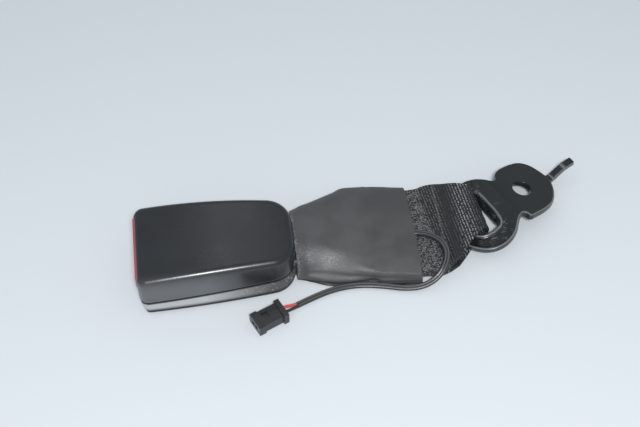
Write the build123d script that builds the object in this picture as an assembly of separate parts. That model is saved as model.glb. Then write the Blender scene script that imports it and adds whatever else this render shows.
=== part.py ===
from build123d import *
import os
from math import atan2, cos, pi, radians, sin, tan

# Seat belt buckle on a short webbing strap, with its switch lead and its anchor plate.
# Millimetres.  X runs from the mouth of the buckle to the anchor, Z is up, and the origin is the
# middle of the lower cover's flat underside.

# ---------------------------------------------------------------- driving dimensions
# covers
front_x = -33.5            # brow of the mouth
rear_x = 33.4              # back of the covers
front_margin = 6.3         # how far the covers' sides stand outside the frame at the mouth
waist_margin = 5.5         # the same near the middle
rear_margin = 2.2          # the same where the sides meet the back
front_corner = 4.4
rear_corner = 11.0
cover_height = 24.1
crown = 1.7                # how far the roof falls from its middle to its ends
nose_setback = 2.3         # how far the foot of the mouth lies behind the brow
nose_bulge = 1.2           # how far the middle of the mouth stands in front of the brow
nose_level = 0.45          # height of the bulge, as a share of the cover's
cover_wall = 2.0
roof_fillet = 3.0
foot_fillet = 2.2
seam_height = 9.7          # height of the parting line above the origin
seam_slope = 0.045         # rise of the parting line per millimetre
seam_groove = 0.4
lip_height = 1.2
lip_thick = 0.8
fit_gap = 0.15             # clearance of parts that fit each other
run_gap = 0.35             # clearance of parts that slide past each other
side_gap = 0.3             # between the frame's flanges and the button's sides

# steel frame
plate_thick = 2.5
frame_base_z = 6.0         # underside of the base plate
frame_half = 15.0
frame_front = -26.0
frame_rear = 30.2
flange_front = -16.0
flange_rear = 19.0
flange_drop = 4.7          # from the cover's top down to the flanges' tops
flange_bend = 2.2
rear_bar = 3.2             # width of the bar that the webbing goes round
peg_d = 3.2
peg_x = (-21.0, 20.0)
peg_y = 10.6

# tongue way
slot_width = 25.0
slot_height = 4.5
guide_front = -31.0
guide_length = 4.6
guide_margin = 1.6         # how far the guide stands outside the frame
funnel_flare = 1.0

# release button
button_travel = 4.5
button_proud = 0.7
button_bottom = 13.65
button_drop = 3.1          # from the cover's top down to the button's top
button_depth = 13.2
button_wall = 1.5
button_face = 1.7          # thickness of the button's front at the brow
button_corner = 1.6
arm_gap = 0.45             # between the button's arms and the frame's flanges
arm_thick = 2.1
arm_top = 17.2

# latch pawl
pivot_x = 13.0
pivot_z = 15.7
pivot_d = 3.0
eye_r = 2.8
pawl_lift = 14.6           # degrees
pawl_bottom = 14.0
pawl_thick = 2.3
pawl_gap = 0.45            # between the pawl and the button's arms
pawl_front = -9.0
tooth_thick = 3.5
tooth_half = 4.6
tooth_dip = 1.6            # depth of the tooth in the base plate
ear_reach = 12.0           # from the pivot to the lifting ears
ear_d = 2.4

# ejector
ejector_travel = 10.0
ejector_height = 3.3
ejector_front = -16.0
ejector_back = 5.5
ejector_gap = 0.9          # how much narrower the ejector is than the pawl
prong_width = 3.4
bridge_length = 5.5

# springs
spring_wire = 0.6
button_spring_d = 4.0
button_spring_y = 6.0
button_spring_turns = 6
ejector_spring_d = 3.0
ejector_spring_turns = 9
pawl_spring_d = 3.6
pawl_spring_turns = 3.5
pawl_spring_x = -1.6
spring_seat = -13.4         # front of the ribs that the button's springs press on

# switch
switch_x0 = 7.0
switch_length = 13.0
switch_height = 3.6
track_thick = 0.3

# webbing
web_width = 47.0
web_thick = 1.3
web_gather = 21.6          # width where it is folded through the frame
web_bed = 1.7              # underside of the sewn stretch
sewn_thick = 2.8
loop_skew = 6.5            # degrees, how the anchor loop lies across the strap
loop_end = 122.5           # where the loop turns back through the anchor
loop_top, loop_foot = 10.8, 3.0
strap_split = 78.0         # in front of this the strap lies square, behind it skewed
strap_far = ((38.0, 10.8), (62.0, 31.2), (88.5, 29.0), (107.0, 27.4), (110.4, 26.4),
             (114.2, 20.4), (118.3, 19.0), (120.8, 15.4), (123.4, 9.5))
strap_near = ((123.4, -0.2), (118.6, -2.6), (113.6, -6.3), (111.0, -8.9), (106.8, -13.0),
              (102.7, -15.7), (97.2, -18.6), (88.5, -18.2), (62.0, -15.0), (38.0, -10.8))

# boot
boot_wall = 1.2
boot_front = 34.2
boot_knee = 60.0
boot_rear = 88.5
boot_sides = ((-14.8, 19.6), (-17.6, 34.2), (-20.6, 31.0))
boot_levels = ((2.0, 15.9), (0.25, 10.6), (0.25, 9.0))
boot_corners = (4.2, 2.8, 2.4)
collar_depth = 1.4         # front wall of the boot, which grips the cover's neck
neck_half = 12.6
neck_length = 2.6
neck_wall = 0.9
neck_bottom = 3.4
neck_top = 14.3
neck_corner = 3.0

# anchor plate
anchor_thick = 3.0
bend_x, bend_y, bend_z = 132.1, 14.24, 12.06
anchor_yaw = 27.5
ring_slope = 13.0
lobe_slope = 12.7
ring_back = 14.3           # from the bend to the ring's centre
ring_long, ring_wide = 16.6, 18.4
slot_long, slot_wide = 15.2, 24.4
slot_edge = 8.2            # from the bend to the slot's straight edge
slot_corner = 3.6
neck_width = 24.4
lobe_half = 15.7
lobe_centre = 13.1
lobe_shoulder = 5.4        # from the bend to where the lobe has its full width
lobe_turn = 4.0            # degrees by which the lobe is turned in its plane
shoulder_round = 3.6
neck_round = 1.8
bend_round = 7.0
bend_lap = 3.0             # how far each half's outline goes past the bend
groove_depth = 0.5         # recess pressed into the ring between its rims
rim_outer, rim_inner = 1.7, 1.5
lip_depth, lip_width = 2.2, 2.6    # rolled edge that the webbing lies against
bolt_reach = 11.6
bolt_d = 9.0
tab_width = 3.5
tab_rise = 8.6
tab_flat = 5.4
tab_angle = 25.0

# lead
cable_d = 2.9
core_d = 1.4
cable_exit = (boot_rear + 0.5, 3.3, 6.1)
free_route = [
    cable_exit, (93.0, 2.3, 6.1), (97.4, -1.0, 7.3), (100.4, -6.0, 8.7), (101.2, -11.8, 9.2),
    (99.4, -17.6, 8.2), (95.2, -21.8, 5.0), (89.0, -23.7, 2.2), (81.0, -23.4, 1.5),
    (71.4, -20.6, 1.5), (61.4, -18.7, 1.5), (51.4, -19.2, 1.5), (41.8, -21.9, 1.5),
    (32.3, -25.9, 1.5),
]
connector_entry = (26.2, -28.7)
connector_yaw = 24.5
connector_length, connector_width, connector_height = 14.4, 9.6, 6.0

# ---------------------------------------------------------------- derived
plate_top = frame_base_z + plate_thick
front_half = frame_half + front_margin
waist_half = frame_half + waist_margin
rear_half = frame_half + rear_margin
guide_half = frame_half + guide_margin
flange_top = cover_height - flange_drop
button_top = cover_height - button_drop
button_half = frame_half + side_gap + button_wall
arm_outer = frame_half - plate_thick - arm_gap
arm_inner = arm_outer - arm_thick
pawl_half = arm_inner - pawl_gap
ejector_half = pawl_half - ejector_gap
button_front = front_x - nose_bulge - button_proud
button_back = button_front + button_depth
button_inner = front_x + button_face - button_proud
button_mid = (button_bottom + button_top) / 2
ear_x = pivot_x - ear_reach
ear_z = pawl_bottom + ear_d / 2
ear_rise = ear_reach * sin(radians(pawl_lift))
ear_shift = ear_reach * (1 - cos(radians(pawl_lift)))
ramp_angle = atan2(ear_rise, button_travel - ear_shift)
ejector_base = plate_top + run_gap
web_slot_half = web_gather / 2 + 0.4
web_slot_rear = frame_rear - rear_bar
web_slot_front = web_slot_rear - web_thick - 1.9
seat_x = web_slot_front - 2.4
bar_gap = 0.3
spring_axis_z = ejector_base + ejector_height / 2
switch_y1 = -(ejector_half + 2 * side_gap)
switch_y0 = -(frame_half - plate_thick - 2 * side_gap)
switch_y = (switch_y0 + switch_y1) / 2


def box(x0, x1, y0, y1, z0, z1):
    """A block between two corners."""
    size = (x1 - x0, y1 - y0, z1 - z0)
    return Pos((x0 + x1) / 2, (y0 + y1) / 2, (z0 + z1) / 2) * Box(*size)


def side_prism(points, y0, y1):
    """Extrude an outline in X and Z from y0 to y1."""
    outline = make_face(Polyline(*[(x, y1, z) for x, z in points], close=True))
    return extrude(outline, y1 - y0, dir=(0, -1, 0))


def rod(x, y, z, d, length, direction):
    """A cylinder that starts at a point and runs along a direction."""
    plane = Plane(origin=(x, y, z), z_dir=direction)
    return extrude(plane * Circle(d / 2), length)


def coil(start, axis, length, outer_d, turns, wire=spring_wire):
    """A compression spring from start along axis."""
    radius = (outer_d - wire) / 2
    rise = length - wire
    path = Helix(pitch=rise / turns, height=rise, radius=radius)
    profile = Plane(origin=path @ 0, z_dir=path % 0) * RegularPolygon(wire / 2, 6)
    spring = sweep(profile, path=path, is_frenet=True)
    return Plane(origin=start, z_dir=axis) * Pos(0, 0, wire / 2) * spring


# ---------------------------------------------------------------- covers
def plan_face(inset=0.0):
    """Outline of the covers from above, moved in by an inset."""
    fore = front_x - nose_bulge - 0.1 + inset
    aft = rear_x - inset
    half_fore, half_mid, half_aft = (h - inset for h in (front_half, waist_half, rear_half))
    left = ThreePointArc((fore, half_fore), (-4.0, half_mid), (aft, half_aft))
    back = ThreePointArc((aft, half_aft), (aft + 0.5, 0), (aft, -half_aft))
    right = ThreePointArc((aft, -half_aft), (-4.0, -half_mid), (fore, -half_fore))
    face = make_face([left, back, right, Line((fore, -half_fore), (fore, half_fore))])
    face = fillet([v for v in face.vertices() if v.X < 0], front_corner - inset)
    rear = [v for v in face.vertices() if abs(v.X - aft) < 0.1]
    return fillet(rear, rear_corner - inset)


def roof_radius():
    """Radius of the roof's arc, which falls by the crown at both ends."""
    return ((rear_x - front_x) ** 2 / 4 + crown ** 2) / (2 * crown)


def nose_cut(inset=0.0):
    """What is cut away in front of the mouth's curved face."""
    foot = (front_x + nose_setback + inset, inset)
    brow = (front_x + inset, cover_height + 1)
    belly = (front_x - nose_bulge + inset, cover_height * nose_level)
    ahead = front_x - 20
    nose = ThreePointArc(brow, belly, foot)
    rest = Polyline(foot, (foot[0], -20), (ahead, -20), (ahead, brow[1]), brow)
    return extrude(Plane.XZ * make_face([nose, rest]), 60, both=True)


def column(inset=0.0):
    """The covers' plan carried up from the floor to the arched roof."""
    radius = roof_radius()
    barrel = Pos(0, 0, cover_height - radius) * Rot(90, 0, 0) * Cylinder(radius - inset, 4 * front_half)
    tall = Pos(0, 0, inset) * extrude(plan_face(inset), 2 * cover_height)
    return tall & barrel


def envelope(inset=0.0):
    """The closed form of both covers, moved in by an inset."""
    return column(inset) - nose_cut(inset)


def seam_z(x):
    return seam_height + seam_slope * x


def above_seam(lift=0.0, top=60.0):
    """Everything above the parting plane, raised by lift, up to top above it."""
    reach = 60.0
    points = [
        (-reach, seam_z(-reach) + lift), (reach, seam_z(reach) + lift),
        (reach, seam_z(reach) + top), (-reach, seam_z(-reach) + top),
    ]
    return side_prism(points, -40, 40)


def rounded_envelope():
    body = column()
    roof = body.faces().sort_by(Axis.Z)[-1]
    mouth_edge = roof.edges().sort_by(Axis.X)[0]
    body = fillet([e for e in roof.edges() if e != mouth_edge], roof_fillet)
    floor = body.faces().sort_by(Axis.Z)[0]
    body = fillet(floor.edges(), foot_fillet)
    return body - nose_cut()


def mouth_opening():
    """The way through the front wall for the button and the tongue."""
    x0, x1 = front_x - 4, front_x + cover_wall + nose_setback + 1
    button_way = box(x0, x1, -button_half - run_gap, button_half + run_gap,
                     plate_top + slot_height + 0.2, button_top + run_gap)
    button_way += box(x0, button_back + button_travel + run_gap, -button_half - run_gap,
                      button_half + run_gap, button_mid, button_top + run_gap)
    tongue_way = box(x0, x1, -slot_width / 2 - funnel_flare, slot_width / 2 + funnel_flare,
                     plate_top - 0.5, button_bottom + 1)
    return button_way + tongue_way


def cover_shell():
    return rounded_envelope() - envelope(cover_wall) - mouth_opening()


def seam_lip(clearance=0.0):
    """The thin lip of the lower cover that stands inside the upper one."""
    outer = extrude(plan_face(cover_wall - lip_thick - clearance), cover_height)
    inner = extrude(plan_face(cover_wall), cover_height)
    band = (outer - inner) & above_seam(0.0, lip_height + clearance)
    return band - box(-60, front_x + cover_wall + 1.5, -30, 30, 0, 40)


def upper_cover():
    shell = cover_shell() & above_seam()
    groove_ring = rounded_envelope() - extrude(plan_face(seam_groove * 1.5), cover_height)
    shell -= groove_ring & above_seam(-1.0, seam_groove)
    shell -= seam_lip(fit_gap) + neck_block(0, rear_x + neck_length, -fit_gap)
    roof_in = cover_height - cover_wall
    ribs = []
    for side in (-1, 1):
        y0 = side * (frame_half - plate_thick / 2)
        ribs.append(box(flange_front + 4, flange_rear - 3, y0 - 0.9, y0 + 0.9,
                        flange_top, roof_in + 1))
        y1 = side * button_spring_y
        ribs.append(box(spring_seat, spring_seat + 1.6, y1 - 2.9, y1 + 2.9,
                        button_mid - 3.2, roof_in + 1))
    for rib in ribs:
        shell += rib & envelope(cover_wall / 2)
    return shell


def lower_cover():
    shell = cover_shell() - above_seam()
    shell += seam_lip()
    floor_top = cover_wall
    for side in (-1, 1):
        y0 = side * (frame_half - 2.6)
        shell += box(frame_front + 2, flange_rear, y0 - 0.9, y0 + 0.9, floor_top - 0.5, frame_base_z)
        for x in peg_x:
            boss = rod(x, side * peg_y, floor_top - 0.5, peg_d + 2.4,
                       frame_base_z - floor_top + 0.5, (0, 0, 1))
            peg = rod(x, side * peg_y, floor_top, peg_d - 2 * fit_gap,
                      plate_top - 0.1 - floor_top, (0, 0, 1))
            shell += boss + peg
    # the neck that the boot slips over, with the way for the webbing and the lead
    neck_front = rear_x - cover_wall - 0.2
    way = neck_block(neck_front - 3, rear_x + neck_length + 1, neck_wall)
    return shell + neck_block(neck_front, rear_x + neck_length) - way


def neck_block(x0, x1, inset=0.0):
    """The rounded section of the neck, moved in by an inset."""
    half = neck_half - inset
    block = box(x0, x1, -half, half, neck_bottom + inset, neck_top - inset)
    return fillet(block.edges().filter_by(Axis.X), neck_corner - inset)


# ---------------------------------------------------------------- frame
def buckle_frame():
    cut_x, cut_y = 3.6, 3.4
    base = make_face(Polyline(
        (frame_front, -frame_half + 2), (frame_front + 2, -frame_half),
        (frame_rear - cut_x - 2, -frame_half), (frame_rear, -frame_half + cut_y),
        (frame_rear, frame_half - cut_y), (frame_rear - cut_x - 2, frame_half),
        (frame_front + 2, frame_half), (frame_front, frame_half - 2), close=True))
    frame = Pos(0, 0, frame_base_z) * extrude(base, plate_thick)
    for side in (-1, 1):
        y0, y1 = sorted((side * frame_half, side * (frame_half - plate_thick)))
        points = [
            (flange_front - 3, plate_top), (flange_front, flange_top - 2),
            (flange_front + 2, flange_top), (flange_rear - 3, flange_top),
            (flange_rear, flange_top - 3), (flange_rear + 2.5, plate_top),
            (flange_rear + 2.5, frame_base_z), (flange_front - 3, frame_base_z),
        ]
        frame += side_prism(points, y0, y1)
    long_edges = frame.edges().filter_by(Axis.X).group_by(Axis.Z)[0]
    outer = [e for e in long_edges if abs(abs(e.center().Y) - frame_half) < 0.01]
    frame = fillet(outer, flange_bend)
    tooth_hole = box(pawl_front - 1.0, pawl_front + tooth_thick + 1.0,
                     -tooth_half - 0.5, tooth_half + 0.5, frame_base_z - 1, plate_top + 1)
    web_slot = box(web_slot_front, web_slot_rear, -web_slot_half, web_slot_half,
                   frame_base_z - 1, plate_top + 1)
    web_slot = fillet(web_slot.edges().filter_by(Axis.Z), 1.2)
    frame -= tooth_hole + web_slot
    frame -= rod(pivot_x, -frame_half - 1, pivot_z, pivot_d + 0.06, 2 * frame_half + 2, (0, 1, 0))
    for x in peg_x:
        for y in (-peg_y, peg_y):
            frame -= rod(x, y, frame_base_z - 1, peg_d, plate_thick + 2, (0, 0, 1))
    # a lug pressed up from the plate carries the ejector's spring
    lug = box(seat_x, seat_x + 1.6, -3.0, 3.0, plate_top - 0.1, plate_top + ejector_height + 0.6)
    return frame + fillet(lug.edges().filter_by(Axis.X).group_by(Axis.Z)[-1], 1.2)


def pawl_pin():
    pin = rod(pivot_x, -frame_half - 0.4, pivot_z, pivot_d, 2 * frame_half + 0.8, (0, 1, 0))
    for side in (-1, 1):
        start = frame_half if side > 0 else -frame_half - 0.6
        pin += rod(pivot_x, start, pivot_z, pivot_d + 1.0, 0.6, (0, 1, 0))
    return pin


# ---------------------------------------------------------------- tongue way and button
def mouth_guide():
    z0, z1 = frame_base_z, plate_top + slot_height
    x0, x1 = guide_front, guide_front + guide_length
    block = box(x0, x1, -guide_half, guide_half, z0, z1)
    block = fillet(block.edges().filter_by(Axis.X), 1.0) & envelope(cover_wall)
    way = box(x0 - 1, x1 + 1, -slot_width / 2, slot_width / 2, plate_top, z1 + 1)
    flare = Plane.YZ.offset(x0 - 0.01) * Pos(0, plate_top + 2) * Rectangle(
        slot_width + 2 * funnel_flare, 4 + 2 * 0.5)
    throat = Plane.YZ.offset(x0 + 2.4) * Pos(0, plate_top + 2) * Rectangle(slot_width, 4)
    way += loft([flare, throat])
    return block - way


def release_button():
    x0, x1 = button_front, button_back
    body = box(x0, x1, -button_half, button_half, button_bottom, button_top)
    body = fillet(body.edges().filter_by(Axis.Z).group_by(Axis.X)[0], button_corner)
    face_edges = body.faces().sort_by(Axis.X)[0].edges()
    body = fillet(face_edges, 0.5) - nose_cut(-button_proud)
    body -= box(button_inner, x1 + 1, -button_half + button_wall,
                button_half - button_wall, button_bottom + button_wall, button_top - button_wall)
    for side in (-1, 1):
        y0, y1 = sorted((side * arm_inner, side * arm_outer))
        run = tan(ramp_angle)
        nx, nz = sin(ramp_angle), cos(ramp_angle)
        reach = ear_d / 2 + 0.25
        foot_x, foot_z = ear_x - nx * reach, ear_z - nz * reach
        tip_x = foot_x + (foot_z - button_bottom) / run
        knee_x = foot_x - (arm_top - foot_z) / run
        points = [
            (x0 + button_wall, button_bottom), (tip_x, button_bottom), (knee_x, arm_top),
            (x1 - 2, arm_top), (x1 - 2, button_top - button_wall / 2),
            (x0 + button_wall, button_top - button_wall / 2),
        ]
        body += side_prism(points, y0, y1)
        body += rod(button_inner - 0.5, side * button_spring_y, button_mid,
                    button_spring_d - 2 * spring_wire - 2 * fit_gap, 4.0, (1, 0, 0))
    return body


# ---------------------------------------------------------------- pawl and ejector
def latch_pawl():
    z0, z1 = pawl_bottom, pawl_bottom + pawl_thick
    plate = box(pawl_front, pivot_x, -pawl_half, pawl_half, z0, z1)
    plate += rod(pivot_x, -pawl_half, pivot_z, 2 * eye_r, 2 * pawl_half, (0, 1, 0))
    points = [
        (pawl_front, z1), (pawl_front, frame_base_z + plate_thick - tooth_dip),
        (pawl_front + tooth_thick - 1.2, plate_top - tooth_dip),
        (pawl_front + tooth_thick, plate_top + 0.4), (pawl_front + tooth_thick, z1),
    ]
    plate += side_prism(points, -tooth_half, tooth_half)
    window = box(pawl_front + tooth_thick + 6.5, pivot_x - 4.5, -4.0, 4.0, z0 - 1, z1 + 1)
    window = fillet(window.edges().filter_by(Axis.Z), 1.2)
    corners = plate.edges().filter_by(Axis.Z).group_by(Axis.X)[0]
    corners = [e for e in corners if abs(e.center().Y) > pawl_half - 0.1]
    plate = fillet(corners, 1.6)
    plate -= window
    for side in (-1, 1):
        start = pawl_half - 0.5 if side > 0 else -arm_outer
        plate += rod(ear_x, start, ear_z, ear_d, arm_outer - pawl_half + 0.5, (0, 1, 0))
    bore = rod(pivot_x, -pawl_half - 1, pivot_z, pivot_d + 0.12, 2 * pawl_half + 2, (0, 1, 0))
    return plate - bore


def ejector():
    z0, z1 = ejector_base, ejector_base + ejector_height
    body = box(ejector_front, ejector_back, -ejector_half, ejector_half, z0, z1)
    inner = ejector_half - prong_width
    body -= box(ejector_front - 1, ejector_back - bridge_length, -inner, inner, z0 - 1, z1 + 1)
    noses = body.edges().filter_by(Axis.Z).group_by(Axis.X)[0]
    body = fillet(noses, 1.0)
    socket = rod(ejector_back - 3.0, 0, spring_axis_z, ejector_spring_d + 0.4, 4.0, (1, 0, 0))
    return body - socket


def button_spring(side):
    start = button_inner
    return coil((start, side * button_spring_y, button_mid), (1, 0, 0),
                spring_seat - start, button_spring_d, button_spring_turns)


def ejector_spring():
    start = ejector_back - 3.0
    return coil((start, 0, spring_axis_z), (1, 0, 0), seat_x - start,
                ejector_spring_d, ejector_spring_turns)


def pawl_spring():
    bottom = pawl_bottom + pawl_thick
    top = cover_height - cover_wall
    return coil((pawl_spring_x, 0, bottom), (0, 0, 1), top - bottom,
                pawl_spring_d, pawl_spring_turns)


# ---------------------------------------------------------------- switch
def switch_case():
    x1 = switch_x0 + switch_length
    case = box(switch_x0, x1, switch_y0, switch_y1, plate_top, plate_top + switch_height)
    case = fillet(case.edges().filter_by(Axis.Z), 0.6)
    return case - switch_tracks()


def switch_tracks():
    """Two brass strips let into the case's inner wall."""
    x0, x1 = switch_x0 + 1.0, switch_x0 + switch_length - 1.0
    strips = []
    for z in (plate_top + 1.0, plate_top + 2.4):
        strips.append(box(x0, x1, switch_y1 - track_thick, switch_y1, z - 0.35, z + 0.35))
    return strips[0] + strips[1]


def contact_bridge():
    """Sprung brass wiper that the ejector carries over the tracks."""
    y1 = -ejector_half
    z0, z1 = plate_top + 0.7, plate_top + 2.7
    return box(-4.5, 4.0, y1 - 0.25, y1, z0, z1)


# ---------------------------------------------------------------- webbing
def web_profile():
    """Side outline of the doubled strap, and the two loops inside it."""
    rear_top = plate_top + bar_gap + web_thick
    rear_low = frame_base_z - bar_gap - web_thick
    x_nose = web_slot_rear - 0.35 - web_thick
    bed_top = web_bed + sewn_thick
    outer = [
        (x_nose, rear_top), (37.0, rear_top), (64.0, bed_top), (97.5, bed_top),
        (103.4, 7.9), (114.0, loop_top), (loop_end, loop_top), (loop_end, loop_foot),
        (115.5, 1.6),
        (107.0, 0.5), (98.0, 0.5), (92.0, web_bed), (64.0, web_bed),
        (37.0, rear_low), (x_nose, rear_low),
    ]
    t = web_thick
    rear_loop = [
        (x_nose + t, rear_top - t), (36.6, rear_top - t), (54.0, 6.0), (54.0, 5.4),
        (36.6, rear_low + t), (x_nose + t, rear_low + t),
    ]
    ring_loop = [
        (99.2, 3.4), (103.8, 6.5), (114.2, loop_top - t), (loop_end - t, loop_top - t),
        (loop_end - t, loop_foot + 0.9), (115.2, 3.0), (106.8, 1.8), (99.2, 1.8),
    ]
    return outer, rear_loop, ring_loop


def filleted(points, rounding):
    """A closed outline in X and Z with chosen corners rounded."""
    face = make_face(Polyline(*[(x, z) for x, z in points], close=True))
    for index, radius in rounding.items():
        x, z = points[index]
        corner = [v for v in face.vertices() if abs(v.X - x) + abs(v.Y - z) < 1e-4]
        face = fillet(corner, radius)
    return Plane.XZ * face


def webbing_strap():
    outer, rear_loop, ring_loop = web_profile()
    outer_face = filleted(outer, {0: 1.6, 14: 1.6, 6: 3.0, 7: 2.4})
    ring_face = filleted(ring_loop, {3: 1.8, 4: 1.4})
    rear_face = filleted(rear_loop, {})
    skew = (-sin(radians(loop_skew)), cos(radians(loop_skew)), 0)
    back_skew = (sin(radians(loop_skew)), -cos(radians(loop_skew)), 0)
    reach, top = web_width, 2 * loop_top
    front = extrude(outer_face, reach, both=True) & box(0, strap_split, -reach, reach, -1, top)
    front -= extrude(rear_face, reach, both=True)
    skewed = extrude(outer_face, reach, dir=skew) + extrude(outer_face, reach, dir=back_skew)
    hole = extrude(ring_face, reach, dir=skew) + extrude(ring_face, reach, dir=back_skew)
    rear = (skewed & box(strap_split, 2 * loop_end, -reach, reach, -1, top)) - hole
    half = web_gather / 2
    start = web_slot_front
    plan = make_face(Polyline(
        (start, half), *strap_far, *strap_near, (start, -half), close=True))
    return (front + rear) & extrude(Pos(0, 0, -1) * plan, top)


# ---------------------------------------------------------------- boot
def boot_section(x, y0, y1, z0, z1, corner, inset):
    plane = Plane(origin=(x, (y0 + y1) / 2, (z0 + z1) / 2), x_dir=(0, 1, 0), z_dir=(1, 0, 0))
    wide, high = y1 - y0 - 2 * inset, z1 - z0 - 2 * inset
    return plane * RectangleRounded(wide, high, corner - inset)


def boot_form(inset, past=0.0):
    stations = zip((boot_front - past, boot_knee, boot_rear + past),
                   boot_sides, boot_levels, boot_corners)
    sections = [boot_section(x, *sides, *levels, corner, inset)
                for x, sides, levels, corner in stations]
    return loft(sections, ruled=True)


def boot_sleeve():
    """Soft sleeve, open behind, with a front wall that grips the neck."""
    hollow = boot_form(boot_wall, 0.01) - box(
        boot_front - 1, boot_front + collar_depth, -40, 40, -5, 40)
    return boot_form(0.0) - hollow - neck_block(boot_front - 1, boot_front + collar_depth + 1)


# ---------------------------------------------------------------- anchor plate
def bend_frame(slope):
    """Plane of one half of the anchor: X runs along it from the bend, its normal is up."""
    yaw = radians(anchor_yaw)
    rise = radians(slope)
    x_dir = (cos(yaw) * cos(rise), sin(yaw) * cos(rise), sin(rise))
    normal = (-cos(yaw) * sin(rise), -sin(yaw) * sin(rise), cos(rise))
    return Plane(origin=(bend_x, bend_y, bend_z), x_dir=x_dir, z_dir=normal)


ring_plane = bend_frame(ring_slope)
lobe_plane = bend_frame(-lobe_slope)


def bent_sheet():
    """The steel sheet bent along its ridge, wide enough for every outline."""
    reach = 4 * lobe_half
    rise, fall = radians(ring_slope), radians(lobe_slope)
    half_bend = (rise + fall) / 2
    t = anchor_thick
    lean = (rise - fall) / 2
    under = (t / cos(half_bend) * sin(lean), -t / cos(half_bend) * cos(lean))
    points = [
        (-reach * cos(rise), -reach * sin(rise)), (0.0, 0.0),
        (reach * cos(fall), -reach * sin(fall)),
        (reach * cos(fall) - t * sin(fall), -reach * sin(fall) - t * cos(fall)), under,
        (-reach * cos(rise) + t * sin(rise), -reach * sin(rise) - t * cos(rise)),
    ]
    face = make_face(Polyline(*points, close=True))
    for corner, radius in ((points[1], bend_round + t), (under, bend_round)):
        bends = [v for v in face.vertices()
                 if abs(v.X - corner[0]) + abs(v.Y - corner[1]) < 1e-4]
        face = fillet(bends, radius)
    yaw = radians(anchor_yaw)
    side = Plane(origin=(bend_x, bend_y, bend_z), x_dir=(cos(yaw), sin(yaw), 0),
                 z_dir=(sin(yaw), -cos(yaw), 0))
    return extrude(side * face, 2 * ring_wide, both=True)


def slot_outline(grow=0.0):
    """The slot that the webbing goes through, with its straight edge towards the bend."""
    return Pos(-slot_edge - slot_long / 2, 0) * RectangleRounded(
        slot_long + 2 * grow, slot_wide + 2 * grow, slot_corner + grow)


def ring_outline():
    outline = Pos(-ring_back, 0) * Ellipse(ring_long, ring_wide)
    outline &= Pos(-2 * ring_long, 0) * Rectangle(4 * ring_long, 3 * ring_wide)
    outline += Pos(bend_lap / 2 - ring_back / 4, 0) * Rectangle(
        ring_back / 2 + bend_lap, neck_width)
    return outline - slot_outline()


def ring_recess():
    """The band pressed into the ring between its raised rims."""
    recess = Pos(-ring_back, 0) * Ellipse(ring_long - rim_outer, ring_wide - rim_outer)
    recess &= Pos(-slot_edge - ring_long, 0) * Rectangle(2 * ring_long, 3 * ring_wide)
    return ring_plane * extrude(recess - slot_outline(rim_inner), -groove_depth)


def webbing_lip():
    """The slot's straight edge, rolled down so that it doesn't cut the webbing."""
    height = lip_depth + anchor_thick
    lip = Box(lip_width, slot_wide - 2 * slot_corner, height)
    lip = fillet(lip.edges().filter_by(Axis.Y).group_by(Axis.X)[0], lip_width * 0.4)
    return ring_plane * Pos(lip_width / 2 - slot_edge, 0, -height / 2) * lip


def lobe_outline():
    """Neck, sloping shoulders and round end."""
    half_neck = neck_width / 2
    start = lobe_shoulder - (lobe_half - half_neck) * 1.4
    side = make_face([
        Polyline((lobe_centre, lobe_half), (lobe_shoulder, lobe_half), (start, half_neck),
                 (-1.0, half_neck), (-1.0, -half_neck), (start, -half_neck),
                 (lobe_shoulder, -lobe_half), (lobe_centre, -lobe_half)),
        ThreePointArc((lobe_centre, -lobe_half), (lobe_centre + lobe_half, 0),
                      (lobe_centre, lobe_half))])
    necks = [v for v in side.vertices() if abs(v.X - start) < 0.01]
    side = fillet(necks, neck_round)
    shoulders = [v for v in side.vertices() if abs(v.X - lobe_shoulder) < 0.01]
    return fillet(shoulders, shoulder_round)


def anchor_plate():
    lobe = Rot(0, 0, lobe_turn) * lobe_outline()
    lobe &= Pos(2 * lobe_half, 0) * Rectangle(4 * lobe_half, 4 * lobe_half)
    lobe += Pos(lobe_shoulder / 4 - bend_lap / 2, 0) * Rectangle(
        lobe_shoulder / 2 + bend_lap, neck_width)
    lobe -= Pos(bolt_reach, 0) * Circle(bolt_d / 2)
    depth = 2 * anchor_thick
    prisms = ring_plane * extrude(ring_outline(), depth, both=True)
    prisms += lobe_plane * extrude(lobe, depth, both=True)
    plate = (bent_sheet() & prisms) - ring_recess()
    return plate + webbing_lip() + anchor_tab()


def anchor_tab():
    """Anti-rotation tab: cranked up from the far end of the lobe."""
    root = lobe_centre + lobe_half - 1.5
    up = radians(tab_angle + lobe_slope)
    flat = radians(lobe_slope + 3)
    t = anchor_thick
    a = (root + 2.2, 0.0)
    b = (a[0] + tab_rise * cos(up), a[1] + tab_rise * sin(up))
    c = (b[0] + tab_flat * cos(flat), b[1] + tab_flat * sin(flat))
    mid = (up + flat) / 2
    low = [
        (c[0] + t * sin(flat), c[1] - t * cos(flat)),
        (b[0] + t * sin(mid), b[1] - t * cos(mid)),
        (a[0] + t * sin(up / 2), a[1] - t * cos(up / 2)),
    ]
    points = [(root, 0.0), a, b, c, *low, (root, -t)]
    face = make_face(Polyline(*points, close=True))
    bends = [v for v in face.vertices() if any(
        abs(v.X - p[0]) + abs(v.Y - p[1]) < 1e-4 for p in (a, b, low[1], low[2]))]
    face = fillet(bends, 1.2)
    side = Plane(origin=lobe_plane.origin, x_dir=lobe_plane.x_dir,
                 z_dir=-lobe_plane.y_dir)
    return extrude(side * face, tab_width / 2, both=True)


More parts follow.
